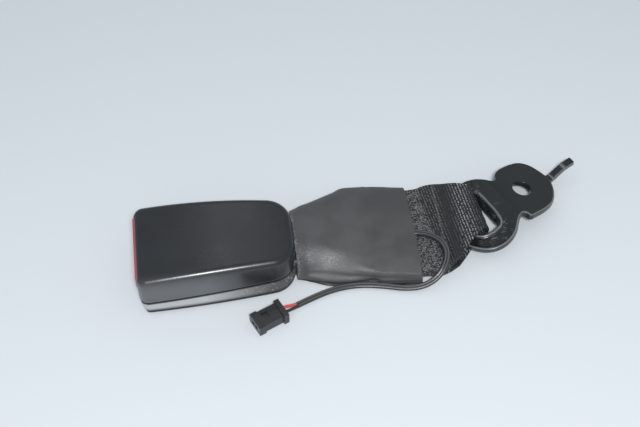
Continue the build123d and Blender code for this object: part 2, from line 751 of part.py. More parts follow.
# ---------------------------------------------------------------- lead
def lead_tube(points, diameter):
    """Straight runs joined by arcs as large as the runs allow."""
    vectors = [Vector(*p) for p in points]
    runs = [b - a for a, b in zip(vectors, vectors[1:])]
    radii = []
    for one, two in zip(runs, runs[1:]):
        half_turn = radians(one.get_angle(two) / 2)
        radii.append(0.45 * min(one.length, two.length) / tan(half_turn))
    path = FilletPolyline(*vectors, radius=radii)
    section = Plane(origin=path @ 0, z_dir=path % 0) * Circle(diameter / 2)
    tube = sweep(section, path=path)
    print("lead of", round(path.length, 1), "radii", [round(r, 1) for r in radii],
          "volume ratio", round(tube.volume / (path.length * pi * diameter ** 2 / 4), 4))
    return tube


inner_route = [
    (switch_x0 + switch_length, switch_y, 11.75), (25.0, switch_y, 11.75), (36.5, -6.6, 11.8),
    (49.0, -2.2, 9.7), (63.0, 3.4, 6.5), (77.0, 6.3, 6.1), cable_exit,
]


def connector_plane(along=0.0, across=0.0, up=0.0):
    """Plane of the plug: X points from its mating end to its wires."""
    yaw = radians(connector_yaw)
    x_dir = Vector(cos(yaw), sin(yaw), 0)
    side = Vector(-sin(yaw), cos(yaw), 0)
    start = Vector(*connector_entry, 0) - x_dir * connector_length
    origin = start + x_dir * along + side * across + Vector(0, 0, up)
    return Plane(origin=origin, x_dir=x_dir, z_dir=(0, 0, 1))


port_size, port_depth, port_pitch = 1.9, 6.0, 2.6


def connector_housing():
    length, width, high = connector_length, connector_width, connector_height
    body = connector_plane(length / 2 + 0.6, 0, high / 2) * Box(length - 1.2, width - 1.6, high - 1.2)
    body += connector_plane(length - 1.2, 0, high / 2) * Box(2.4, width, high)
    body += connector_plane(1.6, 0, high / 2) * Box(3.2, width - 0.6, high - 0.6)
    body -= connector_plane(5.6, 0.6, high) * Box(3.0, 3.2, 2.4)
    for side in (-1, 1):
        across = side * port_pitch / 2
        body -= connector_plane(port_depth / 2, across, high / 2) * Box(
            port_depth, port_size, port_size)
    return body


def connector_contacts():
    pins = []
    for side in (-1, 1):
        across = side * port_pitch / 2
        pins.append(connector_plane(port_depth - 2.0, across, connector_height / 2) * Box(
            4.0, 0.8, 0.8))
    return Compound(children=pins)


def core(side):
    """One insulated core from the end of the sheath to the plug."""
    end = Vector(*free_route[-1])
    yaw = radians(connector_yaw)
    across = Vector(-sin(yaw), cos(yaw), 0)
    entry = Vector(*connector_entry, connector_height / 2) + across * (side * port_pitch / 2)
    direction = (end - Vector(*free_route[-2])).normalized()
    out = Vector(-direction.Y, direction.X, 0) * (-side)
    start = end + out * (core_d / 2 + 0.02)
    first = start + direction * 1.6
    last = entry + connector_plane().x_dir * 1.6
    path = FilletPolyline(start, first, last, entry, radius=2.2)
    section = Plane(origin=path @ 0, z_dir=path % 0) * Circle(core_d / 2)
    return sweep(section, path=path)


# ---------------------------------------------------------------- export
parts = {
    "upper_cover": upper_cover,
    "lower_cover": lower_cover,
    "buckle_frame": buckle_frame,
    "pawl_pin": pawl_pin,
    "mouth_guide": mouth_guide,
    "release_button": release_button,
    "latch_pawl": latch_pawl,
    "ejector": ejector,
    "button_spring_left": lambda: button_spring(1),
    "button_spring_right": lambda: button_spring(-1),
    "ejector_spring": ejector_spring,
    "pawl_spring": pawl_spring,
    "switch_case": switch_case,
    "switch_tracks": switch_tracks,
    "contact_bridge": contact_bridge,
    "webbing_strap": webbing_strap,
    "boot_sleeve": boot_sleeve,
    "anchor_plate": anchor_plate,
    "cable_inner": lambda: lead_tube(inner_route, cable_d),
    "cable_lead": lambda: lead_tube(free_route, cable_d),
    "core_red": lambda: core(1),
    "core_black": lambda: core(-1),
    "connector_housing": connector_housing,
    "connector_contacts": connector_contacts,
}

os.makedirs("parts", exist_ok=True)
for name, make in parts.items():
    export_step(make(), f"parts/{name}.step")
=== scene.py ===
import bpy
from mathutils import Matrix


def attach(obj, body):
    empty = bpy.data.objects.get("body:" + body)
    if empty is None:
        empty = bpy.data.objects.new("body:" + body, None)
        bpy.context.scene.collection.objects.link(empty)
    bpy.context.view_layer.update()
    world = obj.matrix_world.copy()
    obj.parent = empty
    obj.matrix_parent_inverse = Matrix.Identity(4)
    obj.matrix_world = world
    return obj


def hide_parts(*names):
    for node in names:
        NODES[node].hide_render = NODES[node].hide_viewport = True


bl_info = {
    "name": "Seat Belt Buckle",
    "version": (1, 0, 0),
    "blender": (4, 5, 0),
    "location": "View3D > Sidebar > Buckle",
    "description": "Dresses the buckle's frame with its covers, boot, webbing, anchor and lead",
    "category": "Add Mesh",
}

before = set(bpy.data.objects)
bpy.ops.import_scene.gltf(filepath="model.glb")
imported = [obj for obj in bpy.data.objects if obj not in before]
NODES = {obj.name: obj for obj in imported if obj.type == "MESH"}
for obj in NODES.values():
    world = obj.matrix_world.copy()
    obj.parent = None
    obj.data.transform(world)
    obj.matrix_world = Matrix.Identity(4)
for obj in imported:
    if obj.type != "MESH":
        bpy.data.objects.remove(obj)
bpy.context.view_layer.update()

import bmesh
import bpy
import numpy as np
from bpy.props import FloatProperty, FloatVectorProperty, IntProperty, PointerProperty
from mathutils import Matrix, Vector

MM = 0.001


# ------------------------------------------------------------------ settings
def length(name, text, default, low=0.0, high=0.5):
    return FloatProperty(name=name, description=text, default=default, min=low, max=high,
                         unit="LENGTH", subtype="DISTANCE", precision=5)


def colour(name, text, default):
    return FloatVectorProperty(name=name, description=text, default=default, size=3,
                               min=0.0, max=1.0, subtype="COLOR")


class BuckleSizes(bpy.types.PropertyGroup):
    """Sizes of the soft pieces and of their surface detail."""

    webbing_width: length("Webbing width", "Width of the belt webbing", 0.047)
    webbing_thickness: length("Webbing thickness", "Thickness of one ply", 0.0013)
    rib_pitch: length("Rib pitch", "Distance between the webbing's cross ribs", 0.00128)
    dot_pitch: length("Dot pitch", "Distance between yarns along a rib", 0.00088)
    thread_length: length("Stitch length", "Length of one stitch", 0.0013)
    thread_width: length("Thread width", "Width of the sewing thread", 0.00042)
    boot_wall: length("Boot wall", "Thickness of the boot's skin", 0.0012)
    boot_wrinkle: length("Boot wrinkles", "Height of the boot's soft unevenness", 0.0001)
    lead_width: length("Lead width", "Width of the twin lead", 0.0029)
    lead_thickness: length("Lead thickness", "Thickness of the twin lead", 0.00165)
    core_width: length("Core width", "Diameter of one insulated core", 0.0014)
    stitch_rows: IntProperty(name="Stitch rows", description="Rows of stitches across the strap",
                             default=15, min=1, max=40)


class BuckleColours(bpy.types.PropertyGroup):
    """Colours of the finishes."""

    cover: colour("Upper cover", "Satin moulded plastic", (0.0092, 0.0105, 0.0132))
    lower_cover: colour("Lower cover", "Grained moulded plastic", (0.055, 0.057, 0.059))
    button: colour("Button", "Moulded plastic of the release button", (0.36, 0.075, 0.08))
    boot: colour("Boot", "Soft grained sleeve", (0.070, 0.070, 0.071))
    webbing: colour("Webbing", "Polyester yarn", (0.012, 0.013, 0.014))
    thread: colour("Thread", "Sewing thread", (0.19, 0.195, 0.197))
    paint: colour("Anchor paint", "Paint of the anchor plate", (0.012, 0.015, 0.015))
    lead: colour("Lead", "Sheath of the lead", (0.027, 0.028, 0.029))
    live_core: colour("Red core", "Insulation of the red core", (0.66, 0.085, 0.09))
    plug: colour("Plug", "Moulded plug housing", (0.018, 0.019, 0.020))
    floor: colour("Floor", "Plain floor", (0.705, 0.742, 0.772))


def sizes():
    return bpy.context.scene.buckle_sizes


def colours():
    return bpy.context.scene.buckle_colours


# ------------------------------------------------------------------ surfaces
def quads(count_u, count_v, wrap_u, wrap_v):
    """Corner indices of the quads between neighbours of a grid, and their unwrapped rows."""
    iu = np.arange(count_u if wrap_u else count_u - 1)
    iv = np.arange(count_v if wrap_v else count_v - 1)
    a, b = (m.ravel() for m in np.meshgrid(iu, iv, indexing="ij"))
    corners = [(a, b), (a + 1, b), (a + 1, b + 1), (a, b + 1)]
    index = [(p % count_u) * count_v + (q % count_v) for p, q in corners]
    return np.stack(index, axis=1), corners


def end_rows(count_u, count_v, start=0):
    """Index lists of a grid's first and last row, wound to face away from each other."""
    first = [start + k for k in range(count_v)]
    last = [start + (count_u - 1) * count_v + k for k in range(count_v)]
    return [first[::-1], last]


def mesh_of(name, points, polygons):
    """A mesh from points in millimetres and lists of their indices."""
    mesh = bpy.data.meshes.new(name)
    mesh.from_pydata((points.reshape(-1, 3) * MM).tolist(), [], polygons)
    return mesh


def placed(name, mesh):
    """A smooth-shaded object of the scene, at the origin."""
    mesh.polygons.foreach_set("use_smooth", np.ones(len(mesh.polygons), bool))
    mesh.update()
    piece = bpy.data.objects.new(name, mesh)
    bpy.context.scene.collection.objects.link(piece)
    return piece


def store_highlight(mesh, values):
    """Keeps a value per vertex, which the mesh's material reads as the attribute "rim"."""
    # The values are the strengths of painted highlights.
    rim = mesh.attributes.new("rim", "FLOAT", "POINT")
    rim.data.foreach_set("value", values.astype(np.float32))


def grid_piece(name, points, wrap_u=False, wrap_v=False, uv=None, caps=False):
    """A mesh object from a grid of points in millimetres.

    uv holds the pattern coordinates in millimetres, one row and column more than the points in
    a direction that wraps.  caps closes the first and the last row with one face each.  The
    faces are turned outwards by the sign of the volume: the sum of each face's first corner
    dotted with its area vector.
    """
    count_u, count_v = points.shape[:2]
    faces, corners = quads(count_u, count_v, wrap_u, wrap_v)
    flat = points.reshape(-1, 3)
    a, b, c, d = (flat[faces[:, k]] for k in range(4))
    volume = np.einsum("ij,ij->i", a, np.cross(c - a, d - b)).sum()
    turned = slice(None, None, 1 if volume > 0 else -1)
    polygons = faces[:, turned].tolist()
    if caps:
        polygons += [row[turned] for row in end_rows(count_u, count_v)]
    mesh = mesh_of(name, flat, polygons)
    if uv is not None:
        layer = mesh.uv_layers.new(name="pattern")
        per_corner = np.stack([uv[p, q] for p, q in corners], axis=1)[:, turned]
        values = np.zeros((len(mesh.loops), 2))
        values[:per_corner.shape[0] * 4] = per_corner.reshape(-1, 2)
        layer.data.foreach_set("uv", (values * MM).ravel())
    return placed(name, mesh)


def catmull(values, where, closed=False):
    """Catmull-Rom curve through values[k] at the parameter k, read at where.

    Between two values it is a cubic whose slope at each is half the step between its two
    neighbours; past an open end the last step is repeated.
    """
    count = len(values)
    k = np.floor(where).astype(int)
    if not closed:
        k = np.clip(k, 0, count - 2)
    t = (where - k).reshape((-1,) + (1,) * (values.ndim - 1))

    def at(i):
        if closed:
            return values[i % count]
        inside = values[np.clip(i, 0, count - 1)]
        below = (i < 0).reshape(t.shape)
        above = (i > count - 1).reshape(t.shape)
        inside = np.where(below, 2 * values[0] - values[1], inside)
        return np.where(above, 2 * values[-1] - values[-2], inside)

    p0, p1, p2, p3 = at(k - 1), at(k), at(k + 1), at(k + 2)
    return 0.5 * (2 * p1 + (p2 - p0) * t + (2 * p0 - 5 * p1 + 4 * p2 - p3) * t ** 2
                  + (3 * p1 - p0 - 3 * p2 + p3) * t ** 3)


def smooth_step(value, low, high):
    """0 below low and 1 above high, t^2 (3 - 2 t) of the share t between them."""
    t = np.clip((value - low) / (high - low), 0.0, 1.0)
    return t * t * (3 - 2 * t)


def bell(value, centre, width):
    """1 at the centre, 1/e a width away from it: exp(-((value - centre) / width)^2)."""
    return np.exp(-((value - centre) / width) ** 2)


def circle(count):
    """Even points (cos t, sin t) around the unit circle."""
    angle = np.linspace(0, 2 * np.pi, count, endpoint=False)
    return np.stack([np.cos(angle), np.sin(angle)], axis=1)


def unit(vectors):
    """Each vector divided by its length."""
    return vectors / np.maximum(np.linalg.norm(vectors, axis=-1, keepdims=True), 1e-9)


def looped(points, closed=True):
    """A polyline with its first point again at the end, if it is closed."""
    return np.vstack([points, points[:1]]) if closed else points


def arc_lengths(points, closed=False):
    """Distance along a polyline at each point, with the closing one at the end if closed."""
    steps = np.linalg.norm(np.diff(looped(points, closed), axis=0), axis=1)
    return np.concatenate([[0.0], np.cumsum(steps)])


def resample(points, count, closed=False):
    """Points at even distances along a polyline."""
    ends, along = looped(points, closed), arc_lengths(points, closed)
    where = np.linspace(0.0, along[-1], count, endpoint=not closed)
    return np.stack([np.interp(where, along, ends[:, k]) for k in range(3)], axis=1)


WAVES, WAVE_PITCH, WAVE_SUM = 12, (5, 17), 5.0
WAVE_TURN = 6.28


def soft_noise(x, y, seed):
    """Smooth unevenness, about -1 to 1: a sum of sine waves with seeded directions."""
    draw = np.random.default_rng(seed)
    total = np.zeros_like(x)
    for _ in range(WAVES):
        angle, pitch = draw.uniform(0, np.pi), draw.uniform(*WAVE_PITCH)
        phase = draw.uniform(0, WAVE_TURN)
        total += np.sin((x * np.cos(angle) + y * np.sin(angle)) * WAVE_TURN / pitch + phase)
    return total / WAVE_SUM


# ------------------------------------------------------------------ shader node groups
ORIGIN = (0, 0, 0)
SOCKETS = {1: "NodeSocketFloat", 3: "NodeSocketVector", 4: "NodeSocketColor"}


def new_group(name, inputs, outputs):
    """An empty shader node group, with the sockets that feed it and those that it fills.

    inputs are labels with their defaults, whose count of numbers says the kind of socket.
    Among the labels of the outputs only Color is not a number.
    """
    group = bpy.data.node_groups.new(name, "ShaderNodeTree")
    for label, default in inputs.items():
        socket = group.interface.new_socket(label, in_out="INPUT",
                                            socket_type=SOCKETS[np.size(default)])
        socket.default_value = default
    for label in outputs:
        group.interface.new_socket(label, in_out="OUTPUT",
                                   socket_type=SOCKETS[4 if label == "Color" else 1])
    given, results = group.nodes.new("NodeGroupInput"), group.nodes.new("NodeGroupOutput")
    return group, given.outputs, results.inputs


def give(group, results, *sources):
    """Links the sources to a group's results in turn, and returns the group."""
    for index, source in enumerate(sources):
        group.links.new(source, results[index])
    return group


def node(tree, kind, links=(), **settings):
    """A node with its settings and input values or links; links are (socket, source)."""
    made = tree.nodes.new(kind)
    for key, value in settings.items():
        setattr(made, key, value)
    for socket, source in links:
        if isinstance(source, bpy.types.NodeSocket):
            tree.links.new(source, made.inputs[socket])
        else:
            made.inputs[socket].default_value = source
    return made


def math(tree, operation, first, second=0.0, clamp=False):
    """The result of a Math node on two sockets or numbers."""
    made = node(tree, "ShaderNodeMath", [(0, first), (1, second)], operation=operation)
    made.use_clamp = clamp
    return made.outputs[0]


def noise(tree, vector, scale, detail):
    return node(tree, "ShaderNodeTexNoise",
                [("Vector", vector), ("Scale", scale), ("Detail", detail)]).outputs[0]


def mix_colours(tree, share, first, second):
    return node(tree, "ShaderNodeMix", [(0, share), (6, first), (7, second)],
                data_type="RGBA").outputs[2]


def grain_group():
    """Moulded or leather grain: rounded cells with fine noise on them.

    Cell Scale is in cells per metre.  Height is 0 to 1, Mask a noise at the coarse scale.
    """
    group, given, results = new_group(
        "Fine grain", {"Vector": ORIGIN, "Cell Scale": 1500.0, "Coarse Scale": 60.0},
        ["Height", "Mask"])
    cell_share, fine_share, detail = 0.6, 0.5, 3.0
    cells = node(group, "ShaderNodeTexVoronoi",
                 [("Vector", given[0]), ("Scale", given[1])], feature="SMOOTH_F1")
    fine = noise(group, given[0], given[1], detail)
    coarse = noise(group, given[0], given[2], detail)
    inverse = math(group, "SUBTRACT", 1.0, cells.outputs["Distance"])
    height = math(group, "ADD", math(group, "MULTIPLY", inverse, cell_share),
                  math(group, "MULTIPLY", fine, fine_share), clamp=True)
    return give(group, results, height, coarse)


def tone_group():
    """Two tones mixed by a mask, and a roughness that follows the same mask."""
    group, given, results = new_group(
        "Two tones", {"Mask": 0.5, "Low": 0.35, "High": 0.65, "Dark": (0, 0, 0, 1),
                      "Light": (1, 1, 1, 1), "Smooth": 0.3, "Rough": 0.5},
        ["Color", "Roughness"])
    spread = node(group, "ShaderNodeMapRange", [
        ("Value", given[0]), ("From Min", given[1]), ("From Max", given[2])]).outputs[0]
    mixed = mix_colours(group, spread, given[3], given[4])
    rough = node(group, "ShaderNodeMapRange", [
        ("Value", spread), ("To Min", given[5]), ("To Max", given[6])]).outputs[0]
    return give(group, results, mixed, rough)


def weave_group():
    """Cross ribs of yarn bumps on the piece's own UV map, in metres.

    Height is the product of a rounded wave along the strap and a finer one across it, with
    every second rib moved on by half a yarn.  The second output is the same, sharpened, where a
    noise is above a threshold: the mask of the painted glints on the yarn.
    """
    group, given, results = new_group(
        "Rib weave", {"UV": ORIGIN, "Rib Pitch": 0.0016, "Yarn Pitch": 0.00085},
        ["Height", "Glints"])
    wander_scale, wander_share = 260.0, 0.4
    speck_scale, speck_level, sharpness = 900.0, 0.47, 3.6
    parts = node(group, "ShaderNodeSeparateXYZ", [(0, given[0])])
    wander = noise(group, given[0], wander_scale, 2.0)
    drift = math(group, "MULTIPLY", math(group, "SUBTRACT", wander, 0.5), wander_share)
    rib = math(group, "ADD", math(group, "DIVIDE", parts.outputs[0], given[1]), drift)
    yarn = math(group, "DIVIDE", parts.outputs[1], given[2])
    shift = math(group, "MULTIPLY", math(group, "MODULO", math(group, "FLOOR", rib), 2.0), 0.5)
    yarn = math(group, "ADD", math(group, "ADD", yarn, shift), drift)

    def wave(value):
        turned = math(group, "MULTIPLY", value, 2 * np.pi)
        half = math(group, "MULTIPLY", math(group, "COSINE", turned), -0.5)
        return math(group, "ADD", half, 0.5)

    height = math(group, "MULTIPLY", wave(rib), wave(yarn))
    bright = math(group, "GREATER_THAN", noise(group, given[0], speck_scale, 1.0), speck_level)
    dots = math(group, "MULTIPLY", math(group, "POWER", height, sharpness), bright, clamp=True)
    return give(group, results, height, dots)


def scuff_group():
    """Fine scratches and rubbed spots: stretched noise above a threshold, broken by a second."""
    group, given, results = new_group(
        "Scuffs", {"Vector": ORIGIN, "Scale": 120.0, "Amount": 0.4}, ["Mask"])
    turn, stretch = (0.2, 0.1, 0.6), (1.0, 9.0, 5.0)
    bare_level, amount_share, contrast = 0.42, 0.2, 9.0
    turned = node(group, "ShaderNodeMapping", [("Vector", given[0]), ("Rotation", turn),
                                               ("Scale", stretch)])
    lines = noise(group, turned.outputs[0], given[1], 6.0)
    patch = noise(group, given[0], given[1], 2.0)
    both = math(group, "MULTIPLY", lines, patch)
    level = math(group, "SUBTRACT", bare_level, math(group, "MULTIPLY", given[2], amount_share))
    over = math(group, "SUBTRACT", both, level)
    return give(group, results, math(group, "MULTIPLY", over, contrast, clamp=True))


def band_group():
    """A soft band: 1 where the distance along a direction equals Centre, 0 a Width away.

    The mask is a smooth step of 1 - |v . d - centre| / width.
    """
    group, given, results = new_group(
        "Soft band", {"Vector": ORIGIN, "Direction": (1, 0, 0), "Centre": 0.0,
                      "Width": 0.001}, ["Mask"])
    along = node(group, "ShaderNodeVectorMath",
                 [(0, given[0]), (1, given[1])], operation="DOT_PRODUCT").outputs["Value"]
    away = math(group, "ABSOLUTE", math(group, "SUBTRACT", along, given[2]))
    mask = node(group, "ShaderNodeMapRange", [
        ("Value", math(group, "DIVIDE", away, given[3])), ("From Min", 1.0),
        ("From Max", 0.0)], interpolation_type="SMOOTHSTEP")
    return give(group, results, mask.outputs[0])


def speck_group():
    """Small bright specks: fine noise above a threshold, thinned by a coarser noise."""
    group, given, results = new_group(
        "Specks", {"Vector": ORIGIN, "Scale": 2000.0, "Threshold": 0.55}, ["Mask"])
    broad_scale, broad_share, contrast = 240.0, 0.35, 10.0
    fine = noise(group, given[0], given[1], 1.5)
    broad = noise(group, given[0], broad_scale, 2.0)
    thinned = math(group, "MULTIPLY", math(group, "SUBTRACT", 0.5, broad), broad_share)
    over = math(group, "SUBTRACT", fine, math(group, "ADD", given[2], thinned))
    return give(group, results, math(group, "MULTIPLY", over, contrast, clamp=True))


# ------------------------------------------------------------------ finishes
GROUPS = {}
ALONG = (1, 0, 0)
UPRIGHT = (0, 0, 1)
SHADE = (0.006, 0.006, 0.007)


def placed_group(tree, maker, values):
    """One use of a shared group in a material, with its own values."""
    if maker not in GROUPS:
        GROUPS[maker] = maker()
    return node(tree, "ShaderNodeGroup", values.items(), node_tree=GROUPS[maker])


def rgba(colour_value, gain=1.0):
    return tuple(min(1.0, c * gain) for c in colour_value) + (1.0,)


def shader_of(material):
    return material.node_tree.nodes["Principled BSDF"]


def object_place(material):
    return material.node_tree.nodes.new("ShaderNodeTexCoord").outputs["Object"]


def product(material, first, second):
    """Two masks of a material multiplied."""
    return math(material.node_tree, "MULTIPLY", first, second)


def raise_by(material, height, relief):
    """Gives a material a relief of that many millimetres, by a height of 0 to 1."""
    tree = material.node_tree
    bump = node(tree, "ShaderNodeBump", [("Height", height), ("Distance", relief * MM),
                                         ("Strength", 1.0)])
    tree.links.new(bump.outputs[0], shader_of(material).inputs["Normal"])


def finish(name, base, spread, rough, cells, coarse, relief, **shader):
    """A material: grained, mottled between two tones of one colour; shader sets plain sockets.

    spread holds the gains of the two tones and rough their roughness.  cells and coarse count
    the grains and the patches along a metre, relief is the height of the grain in millimetres.
    """
    material = bpy.data.materials.new(name)
    material.use_nodes = True
    tree, bsdf = material.node_tree, shader_of(material)
    grain = placed_group(tree, grain_group, {"Vector": object_place(material),
                                             "Cell Scale": cells, "Coarse Scale": coarse})
    tones = placed_group(tree, tone_group, {
        "Mask": grain.outputs["Mask"], "Dark": rgba(base, spread[0]),
        "Light": rgba(base, spread[1]), "Smooth": rough[0], "Rough": rough[1]})
    tree.links.new(tones.outputs["Color"], bsdf.inputs["Base Color"])
    tree.links.new(tones.outputs["Roughness"], bsdf.inputs["Roughness"])
    raise_by(material, grain.outputs["Height"], relief)
    for label, value in shader.items():
        bsdf.inputs[label.replace("_", " ")].default_value = value
    return material


def lighten_by(material, mask, tint, rough=None):
    """Mixes a tint over a material's colour by a mask, and its roughness likewise."""
    tree, bsdf = material.node_tree, shader_of(material)
    under = bsdf.inputs["Base Color"].links[0].from_socket
    tree.links.new(mix_colours(tree, mask, under, rgba(tint)), bsdf.inputs["Base Color"])
    if rough is not None:
        below = bsdf.inputs["Roughness"].links[0].from_socket
        mixed = node(tree, "ShaderNodeMix", [(0, mask), (2, below), (3, rough)],
                     data_type="FLOAT")
        tree.links.new(mixed.outputs[0], bsdf.inputs["Roughness"])


def band(material, place, direction, centre, width, strength=1.0, of=None):
    """A soft band's mask in a material, in millimetres, times a strength and another mask."""
    made = placed_group(material.node_tree, band_group, {
        "Vector": place, "Direction": direction, "Centre": centre * MM, "Width": width * MM})
    mask = product(material, made.outputs[0], strength)
    return mask if of is None else product(material, mask, of)


def tint_bands(material, place, bands):
    """Soft bands laid over each other: direction, centre, width, strength and tint of each."""
    for *where, tint in bands:
        lighten_by(material, band(material, place, *where), tint)


def specks(material, place, scale, threshold):
    """A mask of small specks, with their scale per metre."""
    return placed_group(material.node_tree, speck_group, {
        "Vector": place, "Scale": scale, "Threshold": threshold}).outputs[0]


def highlight_mask(material, strength):
    """The mesh's own attribute "rim" as a mask, times a strength."""
    # The attribute holds the strengths of painted highlights.
    rim = node(material.node_tree, "ShaderNodeAttribute", attribute_name="rim")
    return product(material, rim.outputs["Fac"], strength)


def webbing_finish(name, base):
    """Woven yarn: ribs and dots on the UV map over the plain finish.

    The dots are painted glints, brightest on the crest of the loop where the highlight falls and
    gone in the smooth fold before it; the sewn part has specks instead, and a painted highlight
    along the ridge where it ends.
    """
    material = finish(name, base, (0.7, 1.3), (0.55, 0.75), 2600.0, 90.0, 0.02)
    tree = material.node_tree
    uv = node(tree, "ShaderNodeUVMap", uv_map="pattern").outputs[0]
    size = sizes()
    weave = placed_group(tree, weave_group, {
        "UV": uv, "Rib Pitch": size.rib_pitch, "Yarn Pitch": size.dot_pitch})
    place = object_place(material)
    # Painted highlight: the glints are strongest in the crest band, where the loop turns, and
    # taken out in the fold band before it.
    crest = band(material, place, ALONG, 113.0, 5.5, 1.1)
    sewn = band(material, place, ALONG, 92.0, 10.5, 0.7)
    smooth = band(material, place, ALONG, 105.6, 4.4, 0.9)
    plain_glint_level, weave_relief = 0.48, 0.25
    level = product(material, math(tree, "ADD", plain_glint_level, crest),
                    math(tree, "SUBTRACT", 1.0, smooth))
    # Painted glints: the yarn dots lightened by that level.
    lighten_by(material, product(material, weave.outputs["Glints"], level), (0.92, 0.93, 0.94))
    lighten_by(material, product(material, specks(material, place, 1500.0, 0.54), sewn),
               (0.20, 0.203, 0.207))
    # Painted highlight: a faint light line along the ridge where the sewn part ends.
    tint_bands(material, place, [(ALONG, 101.4, 0.6, 0.22, (0.30, 0.30, 0.30))])
    raise_by(material, weave.outputs["Height"], weave_relief)
    return material


def dress(names, material):
    """Gives a material to CAD nodes, whose shape stays."""
    for name in names:
        mesh = NODES[name].data
        mesh.materials.clear()
        mesh.materials.append(material)


def settle(piece, material, slot, body="housing", *replaced):
    """Paints a new piece, lets it ride on its body and hides the nodes that it stands for."""
    piece.data.materials.append(material)
    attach(piece, body)
    if replaced:
        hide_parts(*replaced)
    return piece


# ------------------------------------------------------------------ boot
# Sections of the boot in millimetres: x, then (y, z) around it.
BOOT_STATIONS = {
    34.25: [(-10.8, 1.1), (-12.5, 2.4), (-13.3, 4.4), (-13.6, 6.6), (-13.5, 8.8), (-13.2, 11.2),
            (-12.0, 13.3), (-8.0, 15.2), (3.0, 15.8), (11.5, 15.0), (16.8, 12.8), (19.5, 9.4),
            (17.0, 4.0), (3.0, 2.4)],
    36.3: [(-11.2, 0.9), (-12.9, 2.4), (-13.5, 4.4), (-13.5, 6.6), (-13.3, 8.8), (-12.8, 11.2),
           (-11.2, 13.3), (-6.6, 15.0), (3.4, 15.7), (12.0, 14.9), (17.9, 12.5), (20.7, 9.0),
           (18.2, 3.6), (3.4, 2.2)],
    39.5: [(-12.3, 0.7), (-13.8, 2.2), (-13.6, 3.9), (-12.3, 5.4), (-11.7, 7.2), (-10.2, 10.4),
           (-6.0, 12.6), (-1.2, 14.1), (5.0, 14.5), (13.6, 13.9), (20.0, 11.7), (22.9, 8.2),
           (20.4, 2.8), (4.0, 1.7)],
    47.0: [(-15.2, 0.5), (-15.9, 1.8), (-15.3, 3.3), (-13.4, 4.9), (-12.2, 6.9), (-8.8, 9.4),
           (-4.4, 12.1), (1.4, 13.1), (8.0, 13.3), (17.0, 12.3), (24.0, 9.6), (27.2, 6.0),
           (25.0, 1.4), (5.0, 0.7)],
    56.0: [(-16.8, 0.4), (-17.1, 1.5), (-16.4, 2.9), (-15.0, 4.2), (-14.2, 5.9), (-11.4, 8.0),
           (-7.4, 9.9), (-2.2, 10.9), (8.0, 11.4), (20.0, 10.5), (28.2, 7.9), (32.0, 4.5),
           (30.0, 1.1), (7.0, 0.5)],
    60.5: [(-16.4, 0.4), (-17.1, 1.3), (-16.8, 2.5), (-15.6, 3.8), (-15.1, 5.1), (-13.6, 6.7),
           (-10.4, 8.3), (-4.6, 9.7), (8.0, 10.5), (21.0, 9.7), (30.2, 7.3), (34.4, 4.1),
           (32.3, 1.0), (8.0, 0.5)],
    68.0: [(-16.2, 0.9), (-16.9, 1.9), (-17.1, 2.8), (-16.9, 3.7), (-16.7, 4.8), (-16.0, 5.9),
           (-14.2, 6.9), (-6.4, 8.9), (7.5, 10.0), (20.6, 9.3), (30.0, 7.2), (34.0, 4.2),
           (31.9, 1.0), (7.5, 0.5)],
    71.5: [(-17.8, 0.5), (-18.6, 1.2), (-18.5, 2.2), (-17.8, 3.3), (-17.5, 4.6), (-17.0, 5.6),
           (-15.6, 6.4), (-6.6, 8.8), (7.2, 9.8), (20.3, 9.1), (29.7, 7.1), (33.7, 4.2),
           (31.7, 1.0), (7.2, 0.5)],
    88.8: [(-19.4, 0.5), (-20.4, 1.2), (-20.6, 2.0), (-20.3, 3.0), (-19.7, 4.2), (-19.3, 5.0),
           (-18.1, 5.6), (-8.6, 7.9), (5.5, 9.0), (17.0, 8.5), (27.0, 7.0), (30.8, 4.4),
           (29.0, 1.0), (5.5, 0.5)],
}


def boot_surface(rows=120, around=168):
    """Section curves carried along the boot, read as (row, angle) on a grid.

    Each station is a closed Catmull-Rom curve; between stations every point moves on a
    Catmull-Rom curve along X.
    """
    xs = np.array(sorted(BOOT_STATIONS))
    stations = np.array([BOOT_STATIONS[x] for x in xs])
    t = np.linspace(0, stations.shape[1], around, endpoint=False)
    rings = np.stack([catmull(s, t, closed=True) for s in stations])
    along = np.linspace(xs[0], xs[-1], rows)
    where = np.interp(along, xs, np.arange(len(xs)))
    section = catmull(rings, where)
    x = np.repeat(along[:, None], around, axis=1)
    return np.dstack([x, section[..., 0], section[..., 1]])


# Least height of the skin, bulge of its end rims, and where its unevenness fades in and out.
BOOT_FLOOR, BOOT_RIM = 0.3, 0.12
BOOT_CALM = ((37, 44), (84, 88.4))


def normals_of(points):
    """Unit normals of a grid whose second direction wraps."""
    along = np.gradient(points, axis=0)
    around = np.roll(points, -1, axis=1) - np.roll(points, 1, axis=1)
    return unit(np.cross(along, around))


def build_boot():
    """The boot's skin: the surface and its inner wall, joined by a rim at each end.

    Soft noise swells the surface along its normal where it faces up, and fades out towards the
    two ends.  No part of it goes lower than a small height above the floor.
    """
    outer = boot_surface()
    normal = normals_of(outer)
    centre = outer.mean(axis=1, keepdims=True)
    if np.einsum("ijk,ijk->", normal, outer - centre) < 0:
        normal = -normal
    size = sizes()
    x, y = outer[..., 0], outer[..., 1]
    front_end, back_end = BOOT_CALM
    swell = soft_noise(x, y, 3) * size.boot_wrinkle / MM
    swell *= smooth_step(x, *front_end) * (1 - smooth_step(x, *back_end))
    above = np.clip(normal[..., 2], 0, 1)
    outer = outer + normal * (swell * above)[..., None]
    outer[..., 2] = np.maximum(outer[..., 2], BOOT_FLOOR)
    inner = outer - normal * (size.boot_wall / MM)
    inner[..., 0] = outer[..., 0]
    inner[..., 2] = np.maximum(inner[..., 2], BOOT_FLOOR)
    front = (outer[:1] + inner[:1]) / 2 - [BOOT_RIM, 0, 0]
    back = (outer[-1:] + inner[-1:]) / 2 + [BOOT_RIM, 0, 0]
    shell = np.concatenate([outer, back, inner[::-1], front])
    return grid_piece("boot_skin", shell, wrap_u=True, wrap_v=True)


